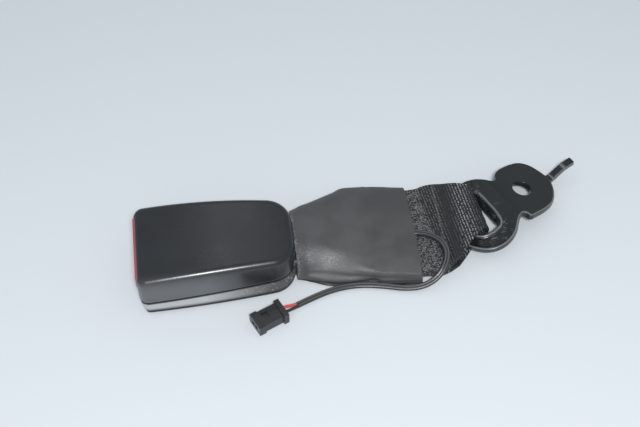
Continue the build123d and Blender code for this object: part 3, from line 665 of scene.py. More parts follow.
# ------------------------------------------------------------------ webbing
# The loop's side path as (x, z), and its two edges in plan as (x, y), in millimetres.
STRAP_PATH = [
    (24.6, 9.1), (27.0, 9.45), (37.0, 9.4), (50.0, 6.6), (64.0, 3.9), (80.0, 3.85),
    (96.0, 3.9), (99.6, 4.9), (103.0, 7.0), (108.0, 8.7), (114.0, 10.1), (118.6, 10.2),
    (121.2, 8.8), (121.8, 6.6), (120.8, 4.2), (116.4, 2.5), (107.0, 1.3), (98.0, 1.2),
    (91.0, 2.3), (80.0, 2.4), (64.0, 2.4), (50.0, 3.8), (37.0, 5.05), (27.0, 5.1),
    (24.6, 5.5), (24.0, 7.3),
]
FAR_EDGE = [(24, 10.8), (38, 10.8), (62, 29.5), (88.5, 28.8), (97.0, 28.9), (102.0, 27.6),
            (106.0, 26.3), (110.0, 25.5), (113.0, 24.9), (116.0, 23.9), (119.0, 22.4),
            (121.6, 18.9), (123.0, 10.2)]
NEAR_EDGE = [(24, -10.8), (33, -10.2), (36, -9.4), (46, -9.4), (52, -11.0), (62, -13.4),
             (88.5, -18.0), (97.2, -18.4), (102.4, -16.2), (106.8, -13.6), (111.0, -9.0),
             (113.3, -6.2), (118.8, -1.6), (122.4, 0.0)]
# Each reach is where a smooth step along x begins and ends.
LOOP_SKEW, SKEW_REACH = np.tan(np.radians(6.5)), (78, 94)
STRAP_STEPS = 420
FOLD_HEIGHT, FOLD_PITCH, FOLD_PHASE, FOLD_REACH = 0.10, 5.4, 0.6, (104, 116)
SEWN_REACH = (86.6, 97.4)
STITCH_PITCH, STITCH_TURN, STITCH_LIFT, SPINDLE = 1.3, 0.75, 0.12, 6
# Room at the near and the far edge; scatter of turn in radians, x and y.
STITCH_MARGIN, STITCH_SPREAD = (1.2, 1.0), (0.45, 0.28, 0.3)


def strap_skew(x):
    """How far the strap's crosswise lines lean at x: a slope times a smooth step."""
    return LOOP_SKEW * smooth_step(x, *SKEW_REACH)


def strap_edge(x, outline):
    """Y of the strap's edge at a path point: fixed point of outline(x - skew y) = y."""
    xs, ys = np.array(outline).T
    y = np.interp(x, xs, ys)
    for _ in range(30):
        y = 0.5 * y + 0.5 * np.interp(x - strap_skew(x) * y, xs, ys)
    return y


def strap_path(count):
    """The strap's side path, a closed Catmull-Rom curve, as points at even distances."""
    knots = np.array(STRAP_PATH)
    dense = catmull(knots, np.linspace(0, len(knots), 2400, endpoint=False), closed=True)
    dense = np.column_stack([dense[:, 0], np.zeros(len(dense)), dense[:, 1]])
    return resample(dense, count, closed=True)


def build_webbing(across=56, round_steps=5):
    """The doubled strap as one closed loop of ply.

    The section is a flat stadium: a straight run across the width and back, with half round
    edges.  It is carried along the closed side path, its half width taken from the plan.  At
    the end of the loop a cosine across the strap gathers it in low folds.
    """
    path = strap_path(STRAP_STEPS)
    tangent = unit(np.roll(path, -1, axis=0) - np.roll(path, 1, axis=0))
    out = np.stack([-tangent[:, 2], np.zeros(STRAP_STEPS), tangent[:, 0]], axis=1)
    if out[np.argmax(path[:, 2]), 2] < 0:
        out = -out
    near, far = strap_edge(path[:, 0], NEAR_EDGE), strap_edge(path[:, 0], FAR_EDGE)
    half_thick = sizes().webbing_thickness / MM / 2
    flat, level, round_side = np.linspace(-1, 1, across), np.ones(across), np.ones(round_steps)
    bend = np.linspace(-np.pi / 2, np.pi / 2, round_steps + 2)[1:-1]
    side = np.concatenate([flat, round_side, flat[::-1], -round_side])
    rise = np.concatenate([level, -np.sin(bend), -level, np.sin(bend)])
    bulge = np.concatenate([0 * level, np.cos(bend), 0 * level, -np.cos(bend)])
    middle, half = (near + far) / 2, (far - near) / 2
    y = middle[:, None] + half[:, None] * side + half_thick * bulge
    gathered = smooth_step(path[:, 0], *FOLD_REACH)[:, None]
    fold = FOLD_HEIGHT * gathered * np.cos(y * 2 * np.pi / FOLD_PITCH + FOLD_PHASE)
    lift = half_thick * rise[None, :] + fold
    points = path[:, None, :] + out[:, None, :] * lift[..., None]
    points[..., 1] = y
    points[..., 0] -= strap_skew(path[:, 0])[:, None] * y
    run = arc_lengths(path, closed=True)
    width = sizes().webbing_width / MM
    across_uv = np.concatenate([side, side[:1]]) * width / 2
    uv = np.dstack(np.meshgrid(run, across_uv, indexing="ij"))
    return grid_piece("webbing_loop", points, wrap_u=True, wrap_v=True, uv=uv)


def build_stitching():
    """Stitches as small spindles on the upper ply, in zigzag rows across the strap.

    A spindle is an ellipse of radius (length, width) / 2 times sin(t); every stitch is the
    same grid of points, turned and moved, with a seeded scatter of turn, x and y.
    """
    size = sizes()
    draw = np.random.default_rng(11)
    half_l, half_w = size.thread_length / MM / 2, size.thread_width / MM / 2
    polar = np.linspace(0.08, np.pi - 0.08, SPINDLE)
    ring = np.linspace(0, 2 * np.pi, SPINDLE, endpoint=False)
    a, b = np.meshgrid(polar, ring, indexing="ij")
    spindle = np.stack([-half_l * np.cos(a), half_w * np.sin(a) * np.cos(b),
                        half_w * np.sin(a) * np.sin(b)], axis=-1).reshape(-1, 3)
    base, xs, ys = [], [], []
    for index, x in enumerate(np.linspace(*SEWN_REACH, size.stitch_rows)):
        near, far = (strap_edge(np.array([x]), edge)[0] for edge in (NEAR_EDGE, FAR_EDGE))
        y = np.arange(near + STITCH_MARGIN[0], far - STITCH_MARGIN[1], STITCH_PITCH)
        xs.append(np.full(len(y), x))
        ys.append(y)
        odd = (np.arange(len(y)) + index) % 2
        base.append(np.where(odd, STITCH_TURN, -STITCH_TURN))
    x, y, turn = np.concatenate(xs), np.concatenate(ys), np.concatenate(base)
    turn, x, y = (values + draw.normal(0, spread, len(values))
                  for values, spread in zip((turn, x, y), STITCH_SPREAD))
    path = strap_path(STRAP_STEPS)
    top = path[:int(np.argmax(path[:, 0]))]
    order = np.argsort(top[:, 0])
    ply = np.interp(x, top[order, 0], top[order, 2])
    z = ply + size.webbing_thickness / MM / 2 + STITCH_LIFT
    c, s = np.cos(turn)[:, None], np.sin(turn)[:, None]
    px = x[:, None] + spindle[None, :, 0] * c - spindle[None, :, 1] * s
    py = y[:, None] + spindle[None, :, 0] * s + spindle[None, :, 1] * c
    pz = z[:, None] + spindle[None, :, 2]
    px = px - strap_skew(px) * py
    faces = quads(SPINDLE, SPINDLE, False, True)[0][:, ::-1]
    ends = np.array(end_rows(SPINDLE, SPINDLE))[:, ::-1]
    polygons = []
    for start in np.arange(len(x)) * len(spindle):
        polygons += (faces + start).tolist() + (ends + start).tolist()
    mesh = mesh_of("anchor_stitching", np.stack([px, py, pz], axis=-1), polygons)
    return placed("anchor_stitching", mesh)


# ------------------------------------------------------------------ anchor plate
# Outlines in plate coordinates: p along the plate from its bend, q across it, h above its top.
BEND_PLACE = np.array([132.1, 14.24, 12.06])
PLATE_YAW = np.radians(27.5)
YAW_COS, YAW_SIN = float(np.cos(PLATE_YAW)), float(np.sin(PLATE_YAW))
PLATE_THICK = 3.0
CUT_ENDS = np.array([(2.4, 10.2), (0.6, -12.35)])
RING_EDGE = [
    (2.4, 10.2), (1.0, 10.9), (-1.8, 13.9), (-4.6, 16.2), (-8.3, 17.8), (-12.3, 18.2),
    (-17.5, 18.0), (-22.2, 16.0), (-26.2, 12.8), (-29.2, 8.2), (-30.8, 2.6), (-30.7, -3.0),
    (-29.2, -8.2), (-27.0, -12.6), (-24.3, -16.0), (-21.2, -18.2), (-17.8, -19.4),
    (-14.5, -19.7), (-10.3, -18.9), (-6.7, -17.1), (-3.9, -14.8), (-1.6, -13.1), (0.6, -12.35)]
LOBE_EDGE = [
    (0.6, -12.35), (1.9, -12.6), (2.6, -13.8), (3.0, -15.2), (4.2, -15.9), (6.2, -15.8),
    (9.4, -15.6), (13.1, -15.2), (16.3, -14.5), (18.9, -13.6), (21.2, -12.1), (23.6, -9.9),
    (25.8, -7.2), (27.7, -3.8), (28.6, -0.6), (28.3, 3.4), (27.5, 6.7), (26.3, 10.0),
    (24.0, 12.9), (21.4, 14.4), (18.7, 14.95), (14.7, 15.1), (10.6, 14.8), (8.0, 14.1),
    (6.0, 12.9), (4.6, 11.1), (3.6, 10.2), (2.4, 10.2)]
SLOT_EDGE = [
    (-9.0, 2.8), (-8.9, 7.4), (-9.6, 9.8), (-11.4, 10.8), (-14.5, 11.1), (-18.6, 10.9),
    (-21.4, 9.0), (-22.9, 5.0), (-23.3, 0.0), (-22.6, -4.4), (-20.8, -7.7), (-18.6, -9.4),
    (-15.8, -10.0), (-13.3, -10.0), (-11.4, -9.5), (-10.2, -8.1), (-9.7, -6.0), (-9.3, -3.4)]
SLOT_MIDDLE, BOLT_MIDDLE, BOLT_RADIUS = (-15.3, 0.0), (11.6, 0.0), 4.5
BEND_SLOPE, BEND_RADIUS, PLAN_SCALE, TOP_TILT = 0.2224, 1.6, 0.975, 0.00255
CUT_RAYS, RING_RAYS, LOBE_RAYS, BOLT_STEPS = 41, 300, 240, 240
EDGE_ROUND, HOLE_ROUND, LIP_ROUND, FOOT_ROUND = 0.6, 0.4, 1.6, 0.4
# The groove's smooth steps by distance from the edge and from the slot, and along p.
GROOVE_DEPTH, GROOVE_OUTER, GROOVE_INNER = 0.75, (1.1, 2.3), (1.2, 2.4)
GROOVE_END = (-10.5, -7.0)
# Each shine is a bell's centre and width.
EDGE_SHINE, LIP_SHINE, LIP_GAIN, LIP_SIDE = (0.45, 0.28), (1.45, 0.35), 0.9, 0.75
SHINE_SIDE, SHINE_FLOOR = 0.45, 0.15


def bent(p, q, h):
    """Plate coordinates to places: a sheet bent along its ridge, offset along its normal.

    The ridge profile is z = tilt p - slope sqrt(p^2 + radius^2), and the distance along the
    ground is scale p.
    """
    root = np.sqrt(p * p + BEND_RADIUS ** 2)
    rise = TOP_TILT - BEND_SLOPE * p / root
    size = np.hypot(PLAN_SCALE, rise)
    ground = PLAN_SCALE * p - h * rise / size
    up = TOP_TILT * p - BEND_SLOPE * root + h * PLAN_SCALE / size
    return np.stack([BEND_PLACE[0] + ground * YAW_COS - q * YAW_SIN,
                     BEND_PLACE[1] + ground * YAW_SIN + q * YAW_COS, BEND_PLACE[2] + up],
                    axis=-1)


def edge_curve(points, closed=False, steps=24):
    """Dense points of a Catmull-Rom curve through an outline."""
    points = np.array(points, float)
    last = len(points) if closed else len(points) - 1
    return catmull(points, np.linspace(0, last, last * steps + (not closed),
                                       endpoint=not closed), closed)


def angles_of(away):
    """Angle of each plan vector, from -pi to pi."""
    return np.arctan2(away[:, 1], away[:, 0])


def reach_along(curve, middle, angles):
    """Distance from a middle point to a closed curve around it at each angle."""
    away = curve - middle
    away = away[np.argsort(angles_of(away))]
    return np.interp(angles, angles_of(away), np.linalg.norm(away, axis=1), period=2 * np.pi)


def distance_to(curve, points, batch=4000):
    """Distance of each point of a grid to the nearest place on a polyline."""
    a, b = curve[:-1], curve[1:]
    step = b - a
    span = np.maximum((step ** 2).sum(1), 1e-12)
    flat = points.reshape(-1, 2)
    best = np.full(len(flat), np.inf)
    for start in range(0, len(flat), batch):
        part = flat[start:start + batch, None, :]
        t = np.clip(((part - a) * step).sum(2) / span, 0, 1)
        gap = part - (a + t[..., None] * step)
        best[start:start + batch] = np.sqrt((gap ** 2).sum(2)).min(1)
    return best.reshape(points.shape[:2])


def rounded(distance, radius):
    """Drop of a rounded edge: radius - sqrt(radius^2 - (radius - distance)^2), 0 further in."""
    inside = np.clip(radius - distance, 0, radius)
    return radius - np.sqrt(np.maximum(radius ** 2 - inside ** 2, 0))


def plate_plan(curve, hole, middle, cut_angles, count):
    """Plan points of one half of the plate, on rays between its edge and its hole.

    Rays from the middle of the hole meet the edge and the hole; the first rays go to the cut
    that both halves share.  Along a ray the points lie closer together at its two ends.
    """
    rest = np.linspace(cut_angles[-1], cut_angles[0] + 2 * np.pi, count + 1)[1:-1]
    angles = np.concatenate([cut_angles, rest])
    ray = np.stack([np.cos(angles), np.sin(angles)], axis=1)
    outer, inner = reach_along(curve, middle, angles), reach_along(hole, middle, angles)
    span = outer - inner
    turn = np.linspace(0, np.pi / 2, 6)
    edge = np.concatenate([EDGE_ROUND * (1 - np.cos(turn)), [0.75, 1.0]])
    into = [np.full(len(angles), d) for d in edge]
    into += [edge[-1] + (span - 2 * edge[-1]) * f for f in np.linspace(0, 1, 30)[1:-1]]
    into += [span - d for d in edge[::-1]]
    into = np.stack(into, axis=1)
    return np.array(middle) + ray[:, None, :] * (outer[:, None] - into)[..., None]


def plate_half(edge, rim, hole, middle, line, count):
    """One half of the plate as rays of points, out along the top and back below; its shine.

    The top is lowered by the rounded edges and, in the ring, by a groove: the product of
    smooth steps of the distances to edge and hole, which ends before the bend.  The shine is
    a bell of the distance to the edge where that faces the viewer, and in the ring another
    along the crest of the rolled lip.
    """
    ringed = middle is SLOT_MIDDLE
    angles = np.unwrap(angles_of(line - np.array(middle)))
    plan = plate_plan(np.concatenate([rim[1:-1], line]), hole, middle, angles, count)
    plan[:len(line), 0] = line
    out, within = distance_to(edge, plan), distance_to(looped(hole), plan)
    top = -rounded(out, EDGE_ROUND) - rounded(within, LIP_ROUND if ringed else HOLE_ROUND)
    low = -PLATE_THICK + rounded(out, FOOT_ROUND) + rounded(within, FOOT_ROUND)
    away = unit(plan - np.array(middle))
    along, aside = away[..., 0], away[..., 1]
    facing = np.clip(SHINE_SIDE * (along * YAW_COS - aside * YAW_SIN)
                     - along * YAW_SIN - aside * YAW_COS + SHINE_FLOOR, 0, 1)
    lit = facing * bell(out, *EDGE_SHINE)
    if ringed:
        groove = smooth_step(out, *GROOVE_OUTER) * smooth_step(within, *GROOVE_INNER)
        top -= GROOVE_DEPTH * groove * (1 - smooth_step(plan[..., 0], *GROOVE_END))
        lit = lit + LIP_GAIN * bell(within, *LIP_SHINE) * (aside < LIP_SIDE)
    upper = bent(plan[..., 0], plan[..., 1], top)
    lower = bent(plan[..., 0], plan[..., 1], low)[:, ::-1]
    return np.concatenate([upper, lower], axis=1), np.concatenate([lit, 0 * lit], axis=1)


LIP_DEPTH, LIP_THICK, LIP_START, LIP_LEAN = 7.7, 1.9, -1.5, 0.2
LIP_EDGE = [(-8.1, -10.2), (-6.0, -9.7), (-3.4, -9.3), (2.8, -9.0), (7.4, -8.9), (9.8, -9.6)]
LIP_ENDS = ((-7.6, -5.0), (6.0, 8.4))


def lip_grid():
    """The rolled lip below the slot's straight edge: a rounded wall carried across the slot.

    It follows the slot's edge as (q, p), is 0.72 of its depth at both ends and rises to the
    whole of it by smooth steps, and leans in proportion to its height.  It has no shine.
    """
    (first, full), (ending, last) = LIP_ENDS
    q = np.linspace(first, last, 40)
    p = np.interp(q, *np.array(LIP_EDGE).T)
    whole = smooth_step(q, first, full) * (1 - smooth_step(q, ending, last))
    deep = LIP_DEPTH * (0.72 + 0.28 * whole)
    around, radius = np.linspace(0, np.pi, 9), LIP_THICK / 2
    side = np.concatenate([-np.cos(around) * LIP_THICK / 2 + radius, [LIP_THICK, 0.0]])
    foot = np.concatenate([np.sin(around) * LIP_THICK / 2, [0.0, 0.0]])
    hung = np.concatenate([np.ones(len(around)), [0.0, 0.0]])
    h = LIP_START - hung * (deep[:, None] + LIP_START - radius) - foot
    lean = LIP_LEAN * (h - LIP_START)
    grid = bent(p[:, None] + side + lean, np.repeat(q[:, None], len(side), axis=1), h)
    return grid, np.zeros(grid.shape[:2])


TAB_KNOTS = np.array([(25.8, -1.5), (29.3, -1.5), (31.2, -1.0), (36.4, 3.1), (38.0, 3.9),
                      (42.0, 5.15)])
TAB_HALF, TAB_POWER = (1.75, 1.45), 0.32
# Where the bends are along p, with the gain and width of their shine; the side's shine, where
# it starts, how far out it lies and how high it goes.
TAB_BENDS, BEND_SHINE = (31.0, 36.8), (0.8, 0.45)
SIDE_SHINE, SIDE_FROM, SIDE_OUT, SIDE_FLAT = 0.5, 31.0, 1.6, 1.3


def tab_grid():
    """The cranked tab, a rounded section carried along its side profile, and its shine.

    The section is a superellipse: half size times sign(cos t) |cos t|^power, and the same with
    the sine.  It shines on top of its two bends and along its near side.
    """
    path = catmull(TAB_KNOTS, np.linspace(0, len(TAB_KNOTS) - 1, 60))
    ahead = unit(np.gradient(path, axis=0))
    wide, high = (half * np.sign(wave) * np.abs(wave) ** TAB_POWER
                  for half, wave in zip(TAB_HALF, circle(32).T))
    p = path[:, :1] - ahead[:, 1:] * high
    h = path[:, 1:] + ahead[:, :1] * high
    wide = np.repeat(wide[None, :], len(path), axis=0)
    gain, painted_light_reach = BEND_SHINE
    bends = sum(bell(path[:, :1], at, painted_light_reach) for at in TAB_BENDS)
    flank = (wide < -SIDE_OUT) * (np.abs(high) < SIDE_FLAT) * (path[:, :1] > SIDE_FROM)
    return bent(p, wide, h), np.maximum(gain * bends * (high > 0), SIDE_SHINE * flank)


def build_anchor():
    """The anchor plate: ring with raised rims and a rolled lip, bend, lobe, hole and tab.

    Both halves are rays between edge and hole, joined along a shared cut: the faces on the cut
    itself are left out and its doubled points merged.
    """
    ring_edge, lobe_edge = edge_curve(RING_EDGE), edge_curve(LOBE_EDGE)
    edge = np.concatenate([ring_edge, lobe_edge[1:]])
    slot = edge_curve(SLOT_EDGE, closed=True)
    bolt = np.array(BOLT_MIDDLE) + BOLT_RADIUS * circle(BOLT_STEPS)
    share = (1 - np.cos(np.linspace(0, np.pi, CUT_RAYS))) / 2
    cut = CUT_ENDS[0] + (CUT_ENDS[1] - CUT_ENDS[0]) * share[:, None]
    halves = [plate_half(edge, ring_edge, slot, SLOT_MIDDLE, cut[::-1], RING_RAYS),
              plate_half(edge, lobe_edge, bolt, BOLT_MIDDLE, cut, LOBE_RAYS)]
    parts = halves + [lip_grid(), tab_grid()]
    faces, offset = [], 0
    for number, (grid, _) in enumerate(parts):
        rays, rows = grid.shape[:2]
        closed = number < len(halves)
        index, _ = quads(rays, rows, closed, True)
        if closed:
            row, ray = np.arange(len(index)) % rows, np.arange(len(index)) // rows
            index = index[(row < rows - 1) | (ray >= CUT_RAYS - 1)]
        faces += (index + offset).tolist()
        if not closed:
            faces += end_rows(rays, rows, offset)
        offset += rays * rows
    mesh = mesh_of("anchor_formed", np.concatenate([g.reshape(-1, 3) for g, _ in parts]), faces)
    store_highlight(mesh, np.clip(np.concatenate([lit.ravel() for _, lit in parts]), 0, 1))
    form = bmesh.new()
    form.from_mesh(mesh)
    bmesh.ops.remove_doubles(form, verts=form.verts, dist=1e-7)
    bmesh.ops.recalc_face_normals(form, faces=form.faces)
    form.to_mesh(mesh)
    form.free()
    return placed("anchor_formed", mesh)


# ------------------------------------------------------------------ lead
# Control points of the lead's two runs, outside and inside the boot, in millimetres.
LEAD_ROUTE = [
    (89.0, 3.3, 6.1), (93.0, 2.3, 6.1), (97.4, -1.0, 7.3), (100.4, -6.0, 8.7),
    (101.2, -11.8, 9.2), (99.4, -17.6, 8.2), (95.2, -21.8, 5.0), (89.0, -23.7, 2.2),
    (81.0, -23.4, 1.5), (71.4, -20.6, 1.5), (61.4, -18.7, 1.5), (51.4, -19.2, 1.5),
    (41.8, -21.9, 1.5), (32.3, -25.9, 1.5),
]
INNER_ROUTE = [
    (22.0, -10.6, 11.75), (25.0, -10.6, 11.75), (36.5, -6.6, 11.8), (49.0, -2.2, 9.7),
    (63.0, 3.4, 6.5), (77.0, 6.3, 6.1), (89.0, 3.3, 6.1),
]
PLUG_ENTRY = np.array([26.2, -28.7, 3.0])
PLUG_YAW = np.radians(24.5)
CORE_PITCH = 2.6


def spline_points(route, steps=14):
    """Points along the NURBS of order 3 whose control points are the route's."""
    data = bpy.data.curves.new("route", "CURVE")
    data.dimensions = "3D"
    spline = data.splines.new("NURBS")
    spline.points.add(len(route) - 1)
    for point, place in zip(spline.points, route):
        point.co = (*(c * MM for c in place), 1.0)
    spline.order_u = 3
    spline.use_endpoint_u = True
    spline.resolution_u = steps
    carrier = bpy.data.objects.new("route", data)
    mesh = bpy.data.meshes.new_from_object(carrier)
    points = np.array([v.co for v in mesh.vertices]) / MM
    bpy.data.objects.remove(carrier)
    bpy.data.curves.remove(data)
    bpy.data.meshes.remove(mesh)
    return points


def swept(name, points, section):
    """A section of (across, up) offsets carried along points, kept level."""
    tangent = unit(np.gradient(points, axis=0))
    across = unit(np.cross(tangent, [0.0, 0.0, 1.0]))
    up = np.cross(across, tangent)
    grid = (points[:, None, :] + across[:, None, :] * section[None, :, :1]
            + up[:, None, :] * section[None, :, 1:])
    return grid_piece(name, grid, wrap_v=True, caps=True)


# Height of the waist and width of the shine on each core, as shares of a core's radius.
WAIST, CREST_HIGHLIGHT = 0.52, 0.30


def build_lead():
    """The twin lead: two round cores side by side under one sheath, waisted between them.

    The section is two circles of the lead's thickness, their outer edges a lead width apart.
    """
    size = sizes()
    radius = size.lead_thickness / MM / 2
    offset = size.lead_width / MM / 2 - radius
    around = circle(44)
    across = (offset + radius) * around[:, 0]
    lobe = np.sqrt(np.maximum(radius ** 2 - (np.abs(across) - offset) ** 2, 0))
    rise = np.where(np.abs(across) < offset, np.maximum(lobe, WAIST * radius), lobe)
    section = np.stack([across, rise * np.sign(around[:, 1])], axis=1)
    points = spline_points(LEAD_ROUTE)
    inside = swept("twin_lead_inside", spline_points(INNER_ROUTE), section)
    lead = swept("twin_lead", points, section)
    # Painted highlight along the top of each core.
    crest = bell(np.abs(across), offset, CREST_HIGHLIGHT * radius) * (section[:, 1] > 0)
    store_highlight(lead.data, np.tile(crest, len(points)))
    return lead, inside, points


def core_route(side):
    """Control points from the end of the sheath, side by side, into the plug."""
    before, end = np.array(LEAD_ROUTE[-2:])
    ahead = unit(end - before)
    out = np.array([-ahead[1], ahead[0], 0.0]) * -side
    across = np.array([-np.sin(PLUG_YAW), np.cos(PLUG_YAW), 0.0]) * side
    back = np.array([np.cos(PLUG_YAW), np.sin(PLUG_YAW), 0.0])
    start = end + out * (sizes().core_width / MM / 2)
    entry = PLUG_ENTRY + across * CORE_PITCH / 2
    return [tuple(start - ahead * 2.0), tuple(start + ahead * 1.6),
            tuple(entry + back * 1.8), tuple(entry - back * 1.0)]


def build_core(name, side):
    """One insulated core, a circle carried along its route."""
    section = sizes().core_width / MM / 2 * circle(16)
    return swept(name, spline_points(core_route(side)), section)


# ------------------------------------------------------------------ operators
# Bands in millimetres: direction, centre, width, strength, tint.
SEAM = (-0.045, 0, 1)
# Painted highlight: a thin light line on the upper cover's lip just above the seam.
UPPER_SEAM_HIGHLIGHT = [(SEAM, 10.35, 0.35, 0.6, (0.12, 0.12, 0.125))]
# Painted sheen: the lower cover is lighter towards its front end and fades out towards the back.
LOWER_PAINTED_SHEEN = [(ALONG, -26.0, 60.0, 1.3, (0.46, 0.47, 0.48))]
LOWER_SHADE = [(SEAM, 9.6, 1.5, 1.5, SHADE), (UPRIGHT, 0.0, 5.0, 2.2, SHADE),
               (ALONG, 37.2, 5.0, 6.0, SHADE)]
# Painted shade along the boot's lower edge, darker towards the floor.
BOOT_FOOT_SHADE = [((0.015, 0, 1), 0.8, 3.2, 1.5, SHADE)]
# Nodes, metallic, colour, gains of the tones, roughness, grains and patches per metre, relief.
MECHANISM = {
    "plated_steel": (("buckle_frame", "latch_pawl"), 1.0, (0.55, 0.54, 0.50), (0.85, 1.1),
                     (0.28, 0.42), 900.0, 70.0, 0.01),
    "bright_steel": (("pawl_pin", "button_spring_left", "button_spring_right",
                      "ejector_spring", "pawl_spring"), 1.0, (0.62, 0.62, 0.62), (0.9, 1.08),
                     (0.18, 0.28), 900.0, 90.0, 0.005),
    "guide_plastic": (("mouth_guide", "switch_case"), 0.0, (0.03, 0.03, 0.032), (0.9, 1.15),
                      (0.4, 0.5), 1800.0, 60.0, 0.02),
    "acetal": (("ejector",), 0.0, (0.66, 0.65, 0.60), (0.94, 1.04), (0.34, 0.42), 1800.0, 60.0,
               0.01),
    "contact_brass": (("switch_tracks", "contact_bridge"), 1.0, (0.72, 0.55, 0.25), (0.9, 1.1),
                      (0.22, 0.34), 1200.0, 120.0, 0.005),
}


class BUCKLE_OT_covers(bpy.types.Operator):
    """Finishes of the two covers and of the release button"""

    bl_idname = "buckle.covers"
    bl_label = "Covers and Button"

    def execute(self, context):
        palette = colours()
        upper = finish("cover_upper_satin", palette.cover, (0.9, 1.15), (0.26, 0.34), 2400.0,
                       45.0, 0.010, Specular_IOR_Level=0.74)
        lower = finish("cover_lower_grain", palette.lower_cover, (0.8, 1.25), (0.42, 0.6),
                       1700.0, 80.0, 0.05)
        place = object_place(upper)
        # Painted reflection of the floor: a lighter band on the upper cover's near wall,
        # strongest at the front and fading out towards the back.
        painted_light_reach = math(upper.node_tree, "MINIMUM", band(upper, place, ALONG, -30.0, 52.0, 2.0),
                     1.0)
        lighten_by(upper, band(upper, place, (0, -1, -0.8), 10.0, 13.0, 1.0, of=painted_light_reach),
                   (0.098, 0.101, 0.105))
        tint_bands(upper, place, UPPER_SEAM_HIGHLIGHT)
        place = object_place(lower)
        tint_bands(lower, place, LOWER_PAINTED_SHEEN)
        # Painted glints: light specks on the lower cover's grain.
        lighten_by(lower, specks(lower, place, 1500.0, 0.61), (0.40, 0.41, 0.42))
        tint_bands(lower, place, LOWER_SHADE)
        red = finish("button_red_plastic", palette.button, (0.9, 1.08), (0.36, 0.46), 2200.0,
                     50.0, 0.012)
        dress(["upper_cover"], upper)
        dress(["lower_cover"], lower)
        dress(["release_button"], red)
        return {"FINISHED"}


class BUCKLE_OT_mechanism(bpy.types.Operator):
    """Finishes of the inner frame, pawl, ejector, springs and switch"""

    bl_idname = "buckle.mechanism"
    bl_label = "Mechanism"

    def execute(self, context):
        for name, (nodes, metallic, *look) in MECHANISM.items():
            dress(nodes, finish(name, *look, Metallic=metallic))
        return {"FINISHED"}


class BUCKLE_OT_boot(bpy.types.Operator):
    """Soft sleeve between the covers and the webbing"""

    bl_idname = "buckle.boot"
    bl_label = "Boot"

    def execute(self, context):
        leather = finish("boot_leatherette", colours().boot, (0.85, 1.2), (0.44, 0.56), 1500.0,
                         55.0, 0.11)
        place = object_place(leather)
        flecks_and_glints = specks(leather, place, 1700.0, 0.55)
        # Painted sheen on the boot's near slope: a lighter patch, speckled with painted glints.
        patch = band(leather, place, ALONG, 44.0, 17.0, 1.0,
                     of=band(leather, place, (0.12, 1, 0), -2.8, 6.0))
        lighten_by(leather, patch, (0.135, 0.136, 0.137))
        lighten_by(leather, product(leather, patch, flecks_and_glints), (0.27, 0.275, 0.275))
        # Light flecks along the boot's cut front edge, the skin's own colour.
        lighten_by(leather, band(leather, place, ALONG, 34.0, 1.9, 1.2, of=flecks_and_glints),
                   (0.36, 0.37, 0.37))
        # Painted shade along the boot's lower edge.
        tint_bands(leather, place, BOOT_FOOT_SHADE)
        settle(build_boot(), leather, "boot", "housing", "boot_sleeve")
        return {"FINISHED"}


class BUCKLE_OT_webbing(bpy.types.Operator):
    """Webbing loop with its stitching"""

    bl_idname = "buckle.webbing"
    bl_label = "Webbing"

    def execute(self, context):
        yarn = webbing_finish("webbing_weave", colours().webbing)
        thread = finish("sewing_thread", colours().thread, (0.35, 1.2), (0.4, 0.55), 3000.0,
                        700.0, 0.02)
        settle(build_webbing(), yarn, "webbing", "housing", "webbing_strap")
        settle(build_stitching(), thread, "webbing")
        return {"FINISHED"}


class BUCKLE_OT_anchor(bpy.types.Operator):
    """Painted anchor plate"""

    bl_idname = "buckle.anchor"
    bl_label = "Anchor"

    def execute(self, context):
        paint = finish("anchor_black_paint", colours().paint, (0.9, 1.15), (0.22, 0.32), 1300.0,
                       40.0, 0.02)
        place = object_place(paint)
        scuffs = placed_group(paint.node_tree, scuff_group, {"Vector": place, "Scale": 240.0,
                                                             "Amount": 0.6})
        worn = band(paint, place, (YAW_COS, YAW_SIN, 0.0), 109.0, 13.0, 1.6,
                    of=scuffs.outputs["Mask"])
        lighten_by(paint, worn, (0.13, 0.133, 0.135), 0.5)
        # Painted highlights along the plate's edges, the slot's lip and the tab's bends and near
        # side.
        lighten_by(paint, highlight_mask(paint, 0.7), (0.28, 0.285, 0.29), 0.3)
        settle(build_anchor(), paint, "anchor_paint", "anchor", "anchor_plate")
        return {"FINISHED"}


class BUCKLE_OT_lead(bpy.types.Operator):
    """Twin lead, its two cores and the plug"""

    bl_idname = "buckle.lead"
    bl_label = "Lead and Plug"

    def execute(self, context):
        palette = colours()
        sheath = finish("lead_sheath", palette.lead, (0.9, 1.15), (0.24, 0.32), 2600.0, 80.0,
                        0.006)
        red = finish("red_core", palette.live_core, (0.92, 1.08), (0.28, 0.36), 2600.0, 90.0,
                     0.004)
        plug = finish("plug_nylon", palette.plug, (0.7, 1.5), (0.2, 0.32), 2200.0, 160.0, 0.02)
        tin = finish("tinned_contact", (0.70, 0.69, 0.64), (0.9, 1.05), (0.2, 0.3), 1500.0,
                     90.0, 0.004, Metallic=1.0)
        # Painted highlights along the tops of the lead's two cores.
        lighten_by(sheath, highlight_mask(sheath, 0.32), (0.30, 0.305, 0.31))
        lead, inside, points = build_lead()
        settle(lead, sheath, "lead_black", "housing", "cable_lead")
        settle(inside, sheath, "lead_black", "housing", "cable_inner")
        cores = [settle(build_core("live_core", 1), red, "core_red", "housing", "core_red"),
                 settle(build_core("return_core", -1), sheath, "core_black", "housing",
                        "core_black")]
        dress(["connector_housing"], plug)
        dress(["connector_contacts"], tin)
        return {"FINISHED"}


